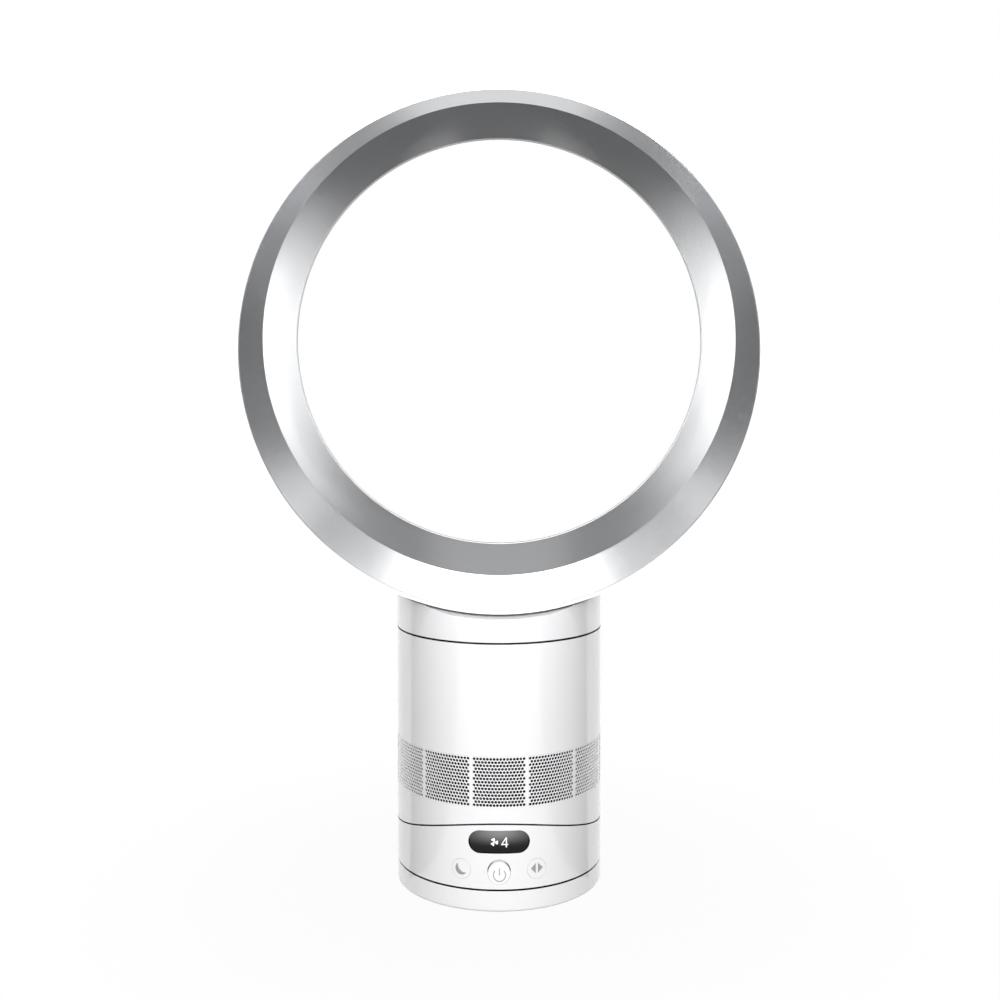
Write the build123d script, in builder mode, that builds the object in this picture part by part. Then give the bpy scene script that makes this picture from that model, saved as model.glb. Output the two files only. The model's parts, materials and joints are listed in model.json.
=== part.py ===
from build123d import *
import os
from math import acos, cos, degrees, pi, radians, sin, sqrt, tan

os.makedirs("parts", exist_ok=True)

# Desk fan with a hollow ring on a round base. Millimetres and degrees.
# Front is -Y, right is +X, up is +Z. The origin is the centre of the underside.

# ---------------------------------------------------------------- driving dimensions

# Round base, the same radius from the foot to the neck
BASE_R = 72.5
WALL = 2.5
EDGE_ROUND = 2.0
SEAM = 0.9            # joint line between stacked mouldings
GAP = 0.3             # clearance between pieces that move apart
FIT = 0.05            # running fit, on the radius
SEAT = 0.1            # clearance of a piece held in its seat, on the radius
PRESS = 0.02          # pressed on a shaft, on the radius
THIN_WALL = 2.0

# Foot
PAD_DROP = 0.8        # rubber ring below the foot's underside
PAD_INSET = 4.5       # of the rubber ring from the foot's edge
PAD_W = 8.0
PAD_SEAT = 1.2
FOOT_TOP = 15.2
BOSS_R = 10.0         # fixed post that the turret turns on
GLIDE_INSET = 7.5     # of the glide ring from the wall's inside
GLIDE_RING_W = 4.0
GLIDE_H = 2.0
BUSH_Z = 9.3          # cord inlet at the back
BUSH_R = 4.3
BUSH_BORE_R = 3.0
BUSH_FLANGE = 1.4

# Turret and its swing drive
TURRET_FLOOR_H = 2.5
SLEEVE_WALL = 3.0
SLEEVE_RISE = 5.1     # of the turret's sleeve above its floor
WASHER_R = 15.0
WASHER_H = 1.5
GEAR_MODULE = 1.0
RING_TEETH = 52
PINION_TEETH = 16
PRESSURE_ANGLE = 20.0
BACKLASH = 0.2
GEAR_H = 6.0
SWING_MOTOR_R = 17.0
SWING_MOTOR_H = 14.0
PINION_SHAFT_R = 2.5
PINION_SHAFT_RISE = 7.7  # of the shaft's end above the turret floor
POST_INSET = 7.0      # screw posts between turret and floor
POST_ANGLE = 30.0
POST_R = 3.5
POST_SCREW_L = 9.0    # of the floor screws above the floor

# Tilt cradle: every surface is round about the tilt axis, which runs along X
CRADLE_LOW = 44.5     # lowest height of the turret's hollow top
CRADLE_R = 180.5
TILT_SEAM = 0.8       # from there to the underside of the tower
TILT_ANGLE = 10.0     # to each side
HOOK_X = 35.0
STEM_W = 8.0
STEM_L = 20.0
HOOK_OVERHANG = 2.0
HOOK_H = 3.0
SADDLE_T = 3.5
GLIDE_X = 18.0
GLIDE_W = 8.0
GLIDE_L = 60.0
SADDLE_POST_INSET = 6.4  # screw posts between tower and saddle
SADDLE_POST_ANGLE = 16.4
SADDLE_POST_R = 4.0

# Controls on the front of the turret
DISPLAY_DROP = 5.1    # of the display's middle below the cradle over its board
DISPLAY_W = 41.0
DISPLAY_H = 15.2
POWER_Z = 27.0
POWER_R = 7.4
POWER_LEAN = 7.0      # inward lean of its face
POWER_SLOPE = 42.0    # flare of the recess above that face, from its outward direction
SIDE_Z = 28.8
SIDE_R = 6.7
SIDE_ANGLE = 20.4     # of the two side buttons from the front
BUTTON_TRAVEL = 0.8
BUTTON_GAP = 0.15
FLANGE_W = 1.3        # rim behind the wall that keeps a button in
BUTTON_STEM = 2.4
BUTTON_STEM_R = 2.5
SWITCH_INSET = 11.2   # of the curved strip that the switches stand on
SWITCH_RISE = 3.6     # of a switch tip above it
SWITCH_W = 6.0
CARRIER_SPAN = 64.0
STRIP_T = 1.0
CARRIER_T = 2.0
CARRIER_FOOT_W = 9.0
LAMP_BOARD_INSET = 6.0  # of the display's board from the wall's inside
LAMP_BOARD_GAP = 1.3  # from the board's ends to the wall
LAMP_BOARD_H = 10.8
LAMP_BOARD_T = 1.2
LAMP_W = 30.0
LAMP_T = 4.0
LAMP_H = 9.0

# Tower and its air inlet
TOWER_TOP = 180.3
PANEL_COUNT = 12
PANEL_SPAN = 28.4     # width of an inlet panel as an angle
PANEL_LOW = 70.9
PANEL_HIGH = 105.2
HOLE_R = 1.4
HOLE_PITCH = 4.4
HOLE_ROWS = 8
HOLE_COLUMNS = 8
BOARD_INSET = 14.0
BOARD_Z = 62.0
BOARD_H = 1.6
BOARD_POST_INSET = 10.7  # from the board's edge
BOARD_POST_ANGLE = 41.4
FOAM_W = 12.2
CAPACITOR_R = 8.0
CAPACITOR_H = 22.0

# Fan unit
MOUTH_RISE = 1.8      # of the bell mouth above the inlet panels
MOUTH_H = 2.5
SHROUD_INSET = 13.3   # of the impeller shroud's outlet from the wall's inside
EYE_INSET = 13.7      # of its inlet from its outlet
SHROUD_WALL = 2.2
IMPELLER_RISE = 3.5   # of the impeller above the bell mouth
IMPELLER_H = 25.5
TIP_GAP = 0.7
HUB_LOW_R = 14.0
HUB_WALL = 2.8
NUT_H = 4.0
BLADES = 9
BLADE_T = 1.3
AIR_W = 16.7          # width of the air's way round the motor bucket
BUCKET_RISE = 2.5     # of the motor bucket above the impeller
BUCKET_SPLIT_H = 19.0
BUCKET_H = 35.0
CAP_ROUND = 9.0
STATOR_R = 30.0
STATOR_RISE = 6.0     # of the stator above the bucket's floor
STATOR_H = 10.5
AIR_GAP = 0.6         # between the stator's teeth and the magnet
TEETH = 6
TOOTH_W = 6.0
ROTOR_R = 11.2
SHAFT_R = 2.5
BEARING_R = 7.0
BEARING_W = 4.0
VANES = 11
VANE_WALL = 1.5

# Twist lock between tower and ring
LOCK_RISE = 0.7       # of the lock ring above the tower's wall
LOCK_H = 11.0
LOCK_WALL = 3.9
LEDGE_W = 3.4
COLLAR_WALL = 2.8
LUGS = 4
LUG_SPAN = 20.0
LUG_H = 2.8
LEDGE_H = 2.5
SEAL_H = 2.6
COLLAR_SPOT_INSET = 3.2

# Ring: the outer casing is round about one axis, the inner casing about a higher one
RING_LOW = 197.4      # lowest height of the outer casing's ring
OUTER_R = 178.0
RIM_W = 2.4
RING_SHIFT = 7.6      # of the inner casing's axis above the outer one
RIDGE_DROP = 16.7     # from the outer radius to the ridge of the inner casing
THROAT_DROP = 11.3    # from there to the throat
RING_FRONT = -56.5
BEVEL_L = 14.1        # from the front to the ridge
RING_BACK = 50.5
THROAT_INSET = 14.5   # of the throat from the back
NOSE_L = 30.0         # length of the outer casing's rounding at the back
NOSE_W = 22.0         # its width
CASING_WALL = 2.0
COANDA_R = 12.0       # round of the inner casing behind the throat
SLIT = 1.3            # air slit between the two casings
LIP_INSET = 6.5       # of the rear lip's front edge from the back
LIP_RISE = 0.5        # of the outer casing's bore over the throat
LIP_ROUND = 3.0
LIP_COVER = 0.4       # overlap of the inner casing with the rear lip, along the axis
SHELF_RISE = 1.8      # gap between the ring and the neck's top
FLANGE_T = 3.0        # front flange of the inner casing
BRIDGE_INSET = 4.0    # of the neck's bridge from the ring's front
BRIDGE_REACH = 6.0    # of the bridge into the ring
DIVIDER_W = 24.0
SPACERS = 12

# Screws
SCREW_R = 1.4
HEAD_R = 2.6
HEAD_H = 1.5

# ---------------------------------------------------------------- worked-out dimensions



def corners(radius, angle):
    """The same spot in all four quarters, at a radius and an angle from the X axis."""
    x = radius * cos(radians(angle))
    y = radius * sin(radians(angle))
    return [(side * x, end * y) for side in (-1, 1) for end in (-1, 1)]


INSIDE_R = BASE_R - WALL
FOOT_FLOOR = PAD_DROP + WALL
PAD_OUT_R = BASE_R - PAD_INSET
PAD_IN_R = PAD_OUT_R - PAD_W
TURRET_LOW = FOOT_TOP + SEAM
FLOOR_LOW = TURRET_LOW + GAP
FLOOR_TOP = FLOOR_LOW + TURRET_FLOOR_H
GLIDE_LOW = FLOOR_LOW - GLIDE_H
GLIDE_OUT_R = INSIDE_R - GLIDE_INSET
GLIDE_IN_R = GLIDE_OUT_R - GLIDE_RING_W
SLEEVE_R = BOSS_R + FIT
SLEEVE_TOP = FLOOR_TOP + SLEEVE_RISE
BOSS_TOP = SLEEVE_TOP + GAP
RING_PITCH_R = GEAR_MODULE * RING_TEETH / 2
PINION_PITCH_R = GEAR_MODULE * PINION_TEETH / 2
PINION_Y = RING_PITCH_R + PINION_PITCH_R
PINION_LOW = FOOT_FLOOR + 0.5
PINION_HIGH = FOOT_FLOOR + GEAR_H - GAP
GEAR_SCREW_R = (BOSS_R + RING_PITCH_R) / 2 - 1
POST_SPOTS = corners(INSIDE_R - POST_INSET, POST_ANGLE)
EAR_SPOTS = [(-SWING_MOTOR_R - 3, PINION_Y), (SWING_MOTOR_R + 3, PINION_Y)]

SWITCH_R = INSIDE_R - SWITCH_INSET
SWITCH_TIP = SWITCH_R + SWITCH_RISE
BUTTON_BACK = SWITCH_TIP + BUTTON_TRAVEL + 0.1
CONTROL_PLANE = BUTTON_BACK + BUTTON_STEM
LAMP_BOARD_Y = LAMP_BOARD_INSET - INSIDE_R
LAMP_BOARD_W = 2 * (sqrt(INSIDE_R ** 2 - LAMP_BOARD_Y ** 2) - LAMP_BOARD_GAP)
SIDE_BUTTONS = {"sleep": 270.0 - SIDE_ANGLE, "swing": 270.0 + SIDE_ANGLE}

TILT_Z = CRADLE_LOW + CRADLE_R
DISPLAY_TOP = TILT_Z - sqrt((CRADLE_R + WALL) ** 2 - (LAMP_BOARD_Y + LAMP_BOARD_T) ** 2)
DISPLAY_Z = DISPLAY_TOP - DISPLAY_DROP
SADDLE_R = CRADLE_R - TILT_SEAM
SADDLE_LOW = TILT_Z - SADDLE_R
HOOK_R = CRADLE_R + WALL + GAP
HOOK_HEAD_LOW = TILT_Z - HOOK_R - HOOK_H + 0.2
SADDLE_HEAD_LOW = SADDLE_LOW + 1.3
HOOK_SPOTS = [(side * HOOK_X, end * STEM_L / 4) for side in (-1, 1) for end in (-1, 1)]
SADDLE_SPOT_R = INSIDE_R - SADDLE_POST_INSET
SADDLE_SPOTS = corners(SADDLE_SPOT_R, SADDLE_POST_ANGLE)
RIB_SPOTS = corners((INSIDE_R + SADDLE_SPOT_R) / 2, SADDLE_POST_ANGLE)
BOARD_R = INSIDE_R - BOARD_INSET
BOARD_SPOTS = corners(BOARD_R - BOARD_POST_INSET, BOARD_POST_ANGLE)
BOARD_TOP = BOARD_Z + BOARD_H

MOUTH_Z = PANEL_HIGH + MOUTH_RISE
SHROUD_LOW = MOUTH_Z + MOUTH_H
SHROUD_R = INSIDE_R - SHROUD_INSET
EYE_R = SHROUD_R - EYE_INSET
BUCKET_R = SHROUD_R - AIR_W
HUB_HIGH_R = BUCKET_R
IMPELLER_LOW = SHROUD_LOW + IMPELLER_RISE
IMPELLER_HIGH = IMPELLER_LOW + IMPELLER_H
SHROUD_SLOPE = (SHROUD_R - EYE_R) / (IMPELLER_HIGH - SHROUD_LOW)
BUCKET_LOW = IMPELLER_HIGH + BUCKET_RISE
BUCKET_SPLIT = BUCKET_LOW + BUCKET_SPLIT_H
BUCKET_TOP = BUCKET_LOW + BUCKET_H
BUCKET_FLOOR = BUCKET_LOW + WALL
BUCKET_CEILING = BUCKET_TOP - WALL
STATOR_LOW = BUCKET_FLOOR + STATOR_RISE
STATOR_HIGH = STATOR_LOW + STATOR_H

LOCK_TOP = TOWER_TOP + LOCK_RISE
SHROUD_TOP = LOCK_TOP - LOCK_H
VANE_LOW = BUCKET_LOW + 1
VANE_HIGH = SHROUD_TOP - 4
LOCK_IN_R = INSIDE_R - SEAT - LOCK_WALL
LOCK_LEDGE_R = LOCK_IN_R - LEDGE_W
COLLAR_R = LOCK_LEDGE_R - SEAT - GAP
COLLAR_LOW = SHROUD_TOP + SEAL_H
LEDGE_LOW = COLLAR_LOW + LUG_H + 0.2
LEDGE_HIGH = LEDGE_LOW + LEDGE_H
FLANGE_TOP = LOCK_TOP + WALL
COLLAR_SPOTS = corners(INSIDE_R - COLLAR_SPOT_INSET, 45)

OUTER_Z = RING_LOW + OUTER_R
INNER_Z = OUTER_Z + RING_SHIFT
RIDGE_R = OUTER_R - RIDGE_DROP
THROAT_R = RIDGE_R - THROAT_DROP
RIDGE_Y = RING_FRONT + BEVEL_L
THROAT_Y = RING_BACK - THROAT_INSET
NOSE_Y = RING_BACK - NOSE_L
NOSE_R = OUTER_R - NOSE_W
NECK_LOW = TOWER_TOP + SEAM
SHELF_R = OUTER_R + SHELF_RISE
BRIDGE_R = OUTER_R - BRIDGE_REACH
BRIDGE_FRONT = RING_FRONT + BRIDGE_INSET
BRIDGE_BACK = THROAT_Y
NECK_HIGH = OUTER_Z - sqrt(BRIDGE_R ** 2 - BASE_R ** 2) + 5
CAVITY_R = OUTER_R - RIM_W
FLANGE_R = CAVITY_R - SEAT
LIP_R = THROAT_R + LIP_RISE
LIP_Y = RING_BACK - LIP_INSET
CASING_END = LIP_Y + LIP_COVER
COANDA_CENTRE_R = THROAT_R + COANDA_R
DIVIDER_LOW = RING_LOW - 0.4
DIVIDER_HIGH = INNER_Z - RIDGE_R - CASING_WALL - 0.7


# ---------------------------------------------------------------- shapes used more than once

def disc(radius, low, high, bore=0.0, spots=((0, 0),), mode=Mode.ADD):
    """Round plate, post or tube along Z between two heights, at each spot."""
    with BuildSketch(Plane.XY.offset(low)) as section:
        with Locations(*spots):
            Circle(radius)
            if bore > 0:
                Circle(bore, mode=Mode.SUBTRACT)
    extrude(section.sketch, amount=high - low, mode=mode)


def tilt_drum(radius, mode):
    """Cylinder about the tilt axis, wider than the base."""
    with Locations((0, 0, TILT_Z)):
        Cylinder(radius, 3 * BASE_R, rotation=(0, 90, 0), mode=mode)


def ring_drum(radius, height, mode, front=-2 * BASE_R, back=2 * BASE_R):
    """Cylinder along Y about a ring axis at the given height."""
    with BuildSketch(Plane.XZ.offset(-back)) as section:
        with Locations((0, height)):
            Circle(radius)
    extrude(section.sketch, amount=back - front, mode=mode)


def gear(teeth, bore, first_tooth, low, high):
    """Spur gear with involute flanks, one tooth centred on the angle first_tooth."""
    pitch_r = GEAR_MODULE * teeth / 2
    base_r = pitch_r * cos(radians(PRESSURE_ANGLE))
    root_r = pitch_r - 1.25 * GEAR_MODULE
    tip_r = pitch_r + 0.9 * GEAR_MODULE
    half_at_pitch = pi / (2 * teeth) - BACKLASH / (4 * pitch_r)

    def involute(radius):
        roll = acos(min(1.0, base_r / radius))
        return tan(roll) - roll

    def flank(radius, side, centre):
        offset = half_at_pitch + involute(pitch_r) - involute(max(radius, base_r))
        angle = centre + side * offset
        return (radius * cos(angle), radius * sin(angle))

    start_r = max(root_r, base_r)
    radii = [root_r] + [start_r + (tip_r - start_r) * step / 3 for step in range(4)]
    if start_r == root_r:
        radii = radii[1:]
    outline = []
    for tooth in range(teeth):
        centre = radians(first_tooth) + 2 * pi * tooth / teeth
        outline += [flank(r, -1, centre) for r in radii]
        outline += [flank(r, 1, centre) for r in reversed(radii)]
    with BuildSketch(Plane.XY.offset(low)) as section:
        with BuildLine():
            Polyline(*outline, close=True)
        make_face()
        Circle(bore, mode=Mode.SUBTRACT)
    extrude(section.sketch, amount=high - low)


def screws(spots, head_low, tip, head_down=True):
    """Pan screws along Z at the given spots; the head lies at the low or at the high end."""
    disc(HEAD_R, head_low, head_low + HEAD_H, spots=spots)
    if head_down:
        disc(SCREW_R, head_low + HEAD_H, tip, spots=spots)
    else:
        disc(SCREW_R, tip, head_low, spots=spots)


def radial_plane(angle, radius, height):
    """Plane that faces outwards on the base, its X along the wall and its Y up."""
    outward = (cos(radians(angle)), sin(radians(angle)), 0)
    along = (-sin(radians(angle)), cos(radians(angle)), 0)
    return Plane(origin=(radius * outward[0], radius * outward[1], height), x_dir=along, z_dir=outward)


def power_outline(clearance):
    """Circle of the power button, seen from the front, on a plane behind the wall."""
    with BuildSketch(radial_plane(270, CONTROL_PLANE, POWER_Z)) as section:
        Circle(POWER_R + clearance)
    return section.sketch


def display_outline(clearance):
    """Stadium of the display window, seen from the front, on a plane behind the wall."""
    with BuildSketch(radial_plane(270, CONTROL_PLANE, DISPLAY_Z)) as section:
        SlotOverall(DISPLAY_W + 2 * clearance, DISPLAY_H + 2 * clearance)
    return section.sketch


# ---------------------------------------------------------------- foot

with BuildPart() as foot_shell:
    disc(BASE_R, PAD_DROP, FOOT_TOP)
    fillet(foot_shell.edges().group_by(Axis.Z)[0], EDGE_ROUND)
    fillet(foot_shell.edges().group_by(Axis.Z)[-1], 0.4)
    disc(INSIDE_R, FOOT_FLOOR, FOOT_TOP, mode=Mode.SUBTRACT)
    disc(GLIDE_OUT_R, PAD_DROP + WALL / 2, GLIDE_LOW, bore=GLIDE_IN_R)
    disc(BOSS_R, PAD_DROP + WALL / 2, BOSS_TOP)
    disc(PAD_OUT_R, PAD_DROP, PAD_DROP + PAD_SEAT, bore=PAD_IN_R, mode=Mode.SUBTRACT)
    disc(SCREW_R + SEAT, FOOT_TOP - 3, BOSS_TOP, mode=Mode.SUBTRACT)
    with PolarLocations(GEAR_SCREW_R, 3):
        with Locations((0, 0, FOOT_FLOOR)):
            Cylinder(SCREW_R + SEAT, WALL, mode=Mode.SUBTRACT)
    with BuildSketch(radial_plane(90, INSIDE_R - 4, BUSH_Z)) as inlet:
        Circle(BUSH_R)
    extrude(inlet.sketch, amount=10, mode=Mode.SUBTRACT)
foot_shell.part.label = "foot_shell"
export_step(foot_shell.part, "parts/foot_shell.step")

with BuildPart() as rubber_ring:
    disc(PAD_OUT_R - SEAT, 0, PAD_DROP + PAD_SEAT, bore=PAD_IN_R + SEAT)
    fillet(rubber_ring.edges().group_by(Axis.Z)[0], 0.4)
rubber_ring.part.label = "rubber_ring"
export_step(rubber_ring.part, "parts/rubber_ring.step")

with BuildPart() as cord_bush:
    with BuildSketch(radial_plane(90, INSIDE_R - 3.6, BUSH_Z)) as flange:
        Circle(BUSH_R + BUSH_FLANGE)
        Circle(BUSH_BORE_R, mode=Mode.SUBTRACT)
    extrude(flange.sketch, amount=2.6)
    with BuildSketch(radial_plane(90, INSIDE_R - 3.6, BUSH_Z)) as sleeve:
        Circle(BUSH_R - SEAT)
        Circle(BUSH_BORE_R, mode=Mode.SUBTRACT)
    extrude(sleeve.sketch, amount=5.8)
cord_bush.part.label = "cord_bush"
export_step(cord_bush.part, "parts/cord_bush.step")

with BuildPart() as ring_gear:
    gear(RING_TEETH, BOSS_R + SEAT, 90, FOOT_FLOOR, FOOT_FLOOR + GEAR_H)
    with PolarLocations(GEAR_SCREW_R, 3):
        with Locations((0, 0, FOOT_FLOOR + GEAR_H / 2)):
            Cylinder(SCREW_R + SEAT, GEAR_H, mode=Mode.SUBTRACT)
        with Locations((0, 0, FOOT_FLOOR + GEAR_H - HEAD_H / 2)):
            Cylinder(HEAD_R + SEAT, HEAD_H, mode=Mode.SUBTRACT)
ring_gear.part.label = "ring_gear"
export_step(ring_gear.part, "parts/ring_gear.step")

with BuildPart() as gear_screws:
    gear_spots = [(GEAR_SCREW_R * cos(radians(a)), GEAR_SCREW_R * sin(radians(a))) for a in (0, 120, 240)]
    screws(gear_spots, FOOT_FLOOR + GEAR_H - HEAD_H, FOOT_FLOOR - WALL / 2 + SEAT, head_down=False)
gear_screws.part.label = "gear_screws"
export_step(gear_screws.part, "parts/gear_screws.step")

with BuildPart() as glide_ring:
    disc(GLIDE_OUT_R, GLIDE_LOW, FLOOR_LOW, bore=GLIDE_IN_R)
glide_ring.part.label = "glide_ring"
export_step(glide_ring.part, "parts/glide_ring.step")

with BuildPart() as pivot_washer:
    disc(WASHER_R, BOSS_TOP, BOSS_TOP + WASHER_H, bore=SCREW_R + SEAT)
pivot_washer.part.label = "pivot_washer"
export_step(pivot_washer.part, "parts/pivot_washer.step")

with BuildPart() as pivot_screw:
    disc(2 * HEAD_R, BOSS_TOP + WASHER_H, BOSS_TOP + WASHER_H + HEAD_H)
    disc(SCREW_R, FOOT_TOP - 2, BOSS_TOP + WASHER_H)
pivot_screw.part.label = "pivot_screw"
export_step(pivot_screw.part, "parts/pivot_screw.step")


# ---------------------------------------------------------------- turret

with BuildPart() as turret_room:
    disc(INSIDE_R, TURRET_LOW, TILT_Z)
    tilt_drum(CRADLE_R + WALL, Mode.SUBTRACT)

with BuildPart() as turret_shell:
    disc(BASE_R, TURRET_LOW, TILT_Z)
    tilt_drum(CRADLE_R, Mode.SUBTRACT)
    add(turret_room.part, mode=Mode.SUBTRACT)
    disc(POST_R, FLOOR_TOP, CRADLE_LOW + 1.5, spots=POST_SPOTS)
    disc(SCREW_R + SEAT, FLOOR_TOP, FLOOR_TOP + POST_SCREW_L + 1, spots=POST_SPOTS, mode=Mode.SUBTRACT)
    # slots for the tilt hooks
    slot_l = 2 * ((CRADLE_R + WALL) * sin(radians(TILT_ANGLE)) + STEM_L / 2 + 2)
    with Locations((-HOOK_X, 0, CRADLE_LOW), (HOOK_X, 0, CRADLE_LOW)):
        Box(STEM_W + 1, slot_l, 24, mode=Mode.SUBTRACT)
    # seats of the display board
    seat_x = LAMP_BOARD_W / 2 - 2
    with Locations((0, LAMP_BOARD_Y - 1.5, DISPLAY_Z - 1)):
        with GridLocations(2 * seat_x, 0, 2, 1):
            Box(4, 3, 6)
    extrude(display_outline(SEAT), amount=3 * WALL, mode=Mode.SUBTRACT)
    extrude(power_outline(BUTTON_GAP), amount=3 * WALL, mode=Mode.SUBTRACT)
    # flared recess over the power button's leaned face; its cone starts 1 mm behind that face
    lean = radians(POWER_LEAN)
    face = Plane((0, -BASE_R, POWER_Z - POWER_R), x_dir=(1, 0, 0), z_dir=(0, -cos(lean), sin(lean)))
    with BuildSketch(face.offset(-1)) as recess:
        with Locations((0, POWER_R)):
            Circle(POWER_R + BUTTON_GAP - tan(radians(POWER_SLOPE)))
    extrude(recess.sketch, amount=WALL + 1, taper=-POWER_SLOPE, mode=Mode.SUBTRACT)
    for side in SIDE_BUTTONS.values():
        with BuildSketch(radial_plane(side, BASE_R / 2, SIDE_Z)) as side_hole:
            Circle(SIDE_R + BUTTON_GAP)
        extrude(side_hole.sketch, amount=BASE_R, mode=Mode.SUBTRACT)
turret_shell.part.label = "turret_shell"
export_step(turret_shell.part, "parts/turret_shell.step")

with BuildPart() as turret_floor:
    disc(INSIDE_R - SEAT, FLOOR_LOW, FLOOR_TOP, bore=SLEEVE_R)
    disc(SLEEVE_R + SLEEVE_WALL, FLOOR_LOW, SLEEVE_TOP, bore=SLEEVE_R)
    disc(PINION_SHAFT_R + 1.5, FLOOR_LOW, FLOOR_TOP, spots=[(0, PINION_Y)], mode=Mode.SUBTRACT)
    disc(SCREW_R + SEAT, FLOOR_LOW, FLOOR_TOP, spots=POST_SPOTS + EAR_SPOTS, mode=Mode.SUBTRACT)
    disc(HEAD_R + SEAT, FLOOR_LOW, FLOOR_LOW + HEAD_H, spots=POST_SPOTS, mode=Mode.SUBTRACT)
turret_floor.part.label = "turret_floor"
export_step(turret_floor.part, "parts/turret_floor.step")

with BuildPart() as floor_screws:
    screws(POST_SPOTS, FLOOR_LOW, FLOOR_TOP + POST_SCREW_L)
floor_screws.part.label = "floor_screws"
export_step(floor_screws.part, "parts/floor_screws.step")

with BuildPart() as swing_motor:
    disc(SWING_MOTOR_R, FLOOR_TOP, FLOOR_TOP + SWING_MOTOR_H, spots=[(0, PINION_Y)])
    disc(4, FLOOR_TOP, FLOOR_TOP + WALL, spots=EAR_SPOTS)
    bore_top = FLOOR_TOP + PINION_SHAFT_RISE + GAP
    disc(PINION_SHAFT_R + FIT, FLOOR_TOP, bore_top, spots=[(0, PINION_Y)], mode=Mode.SUBTRACT)
    disc(SCREW_R + SEAT, FLOOR_TOP, FLOOR_TOP + WALL, spots=EAR_SPOTS, mode=Mode.SUBTRACT)
swing_motor.part.label = "swing_motor"
export_step(swing_motor.part, "parts/swing_motor.step")

with BuildPart() as motor_screws:
    screws(EAR_SPOTS, FLOOR_TOP + WALL, FLOOR_LOW + 0.5, head_down=False)
motor_screws.part.label = "motor_screws"
export_step(motor_screws.part, "parts/motor_screws.step")

with BuildPart() as drive_pinion:
    disc(PINION_SHAFT_R, PINION_LOW, FLOOR_TOP + PINION_SHAFT_RISE)
    gear(PINION_TEETH, PINION_SHAFT_R, 270 + 180 / PINION_TEETH, PINION_LOW, PINION_HIGH)
drive_pinion.part.position += (0, PINION_Y, 0)
drive_pinion.part.label = "drive_pinion"
export_step(drive_pinion.part, "parts/drive_pinion.step")

# Display: a curved black window, the light module behind it, and their board
with BuildPart() as display_window:
    extrude(display_outline(0), amount=3 * WALL)
    disc(BASE_R, 0, TILT_Z, bore=INSIDE_R, mode=Mode.INTERSECT)
display_window.part.label = "display_window"
export_step(display_window.part, "parts/display_window.step")

with BuildPart() as display_board:
    with Locations((0, LAMP_BOARD_Y + LAMP_BOARD_T / 2, DISPLAY_Z - 1)):
        Box(LAMP_BOARD_W, LAMP_BOARD_T, LAMP_BOARD_H)
display_board.part.label = "display_board"
export_step(display_board.part, "parts/display_board.step")

with BuildPart() as display_lights:
    with Locations((0, LAMP_BOARD_Y - LAMP_T / 2, DISPLAY_Z - 0.5)):
        Box(LAMP_W, LAMP_T, LAMP_H)
display_lights.part.label = "display_lights"
export_step(display_lights.part, "parts/display_lights.step")

with BuildPart() as remote_receiver:
    with Locations((17.7, LAMP_BOARD_Y - 1.5, DISPLAY_Z)):
        Box(3, 3, 5)
remote_receiver.part.label = "remote_receiver"
export_step(remote_receiver.part, "parts/remote_receiver.step")


def arc_wall(outer_r, inner_r, span, low, high):
    """Upright curved wall about Z, centred on the front."""
    with BuildSketch(Plane.XY.offset(low)) as section:
        with BuildLine():
            outer = CenterArc((0, 0), outer_r, 270 - span / 2, span)
            inner = CenterArc((0, 0), inner_r, 270 - span / 2, span)
            Line(outer @ 0, inner @ 0)
            Line(outer @ 1, inner @ 1)
        make_face()
    extrude(section.sketch, amount=high - low)


# Switches: a printed strip bent round a carrier that stands on the turret floor
CARRIER_R = SWITCH_R - STRIP_T

with BuildPart() as switch_carrier:
    arc_wall(CARRIER_R, CARRIER_R - CARRIER_T, CARRIER_SPAN, FLOOR_TOP, SIDE_Z + SWITCH_W + 1)
    arc_wall(CARRIER_R, CARRIER_R - CARRIER_FOOT_W, CARRIER_SPAN, FLOOR_TOP, FLOOR_TOP + CARRIER_T)
switch_carrier.part.label = "switch_carrier"
export_step(switch_carrier.part, "parts/switch_carrier.step")

with BuildPart() as switch_strip:
    arc_wall(SWITCH_R, CARRIER_R, CARRIER_SPAN, POWER_Z - SWITCH_W, SIDE_Z + SWITCH_W)
switch_strip.part.label = "switch_strip"
export_step(switch_strip.part, "parts/switch_strip.step")

with BuildPart() as switches:
    for angle, height in [(270, POWER_Z)] + [(side, SIDE_Z) for side in SIDE_BUTTONS.values()]:
        with BuildSketch(radial_plane(angle, SWITCH_R, height)) as body:
            Rectangle(SWITCH_W, SWITCH_W)
        extrude(body.sketch, amount=SWITCH_RISE - 0.6)
        with BuildSketch(radial_plane(angle, SWITCH_R, height)) as tip:
            Circle(1.7)
        extrude(tip.sketch, amount=SWITCH_RISE)
    disc(SWITCH_R + SEAT / 2, 0, TILT_Z, mode=Mode.SUBTRACT)
switches.part.label = "switches"
export_step(switches.part, "parts/switches.step")

# Buttons: a cap that fills its hole, a flange behind the wall and a stem to the switch
with BuildPart() as power_button:
    extrude(power_outline(0), amount=3 * WALL)
    with Locations(Plane((0, -BASE_R, POWER_Z - POWER_R)).rotated((-POWER_LEAN, 0, 0))):
        with Locations((0, BASE_R, 0)):
            Cylinder(BASE_R, 6 * POWER_R, mode=Mode.INTERSECT)
    extrude(power_outline(FLANGE_W), amount=INSIDE_R - 0.9 - CONTROL_PLANE)
    with Locations((0, -BASE_R, (FLOOR_TOP + GAP) / 2)):
        Box(BASE_R, BASE_R, FLOOR_TOP + GAP, mode=Mode.SUBTRACT)
    with BuildSketch(radial_plane(270, BUTTON_BACK, POWER_Z)) as stem:
        Circle(BUTTON_STEM_R)
    extrude(stem.sketch, amount=BUTTON_STEM)
power_button.part.label = "power_button"
export_step(power_button.part, "parts/power_button.step")


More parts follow.
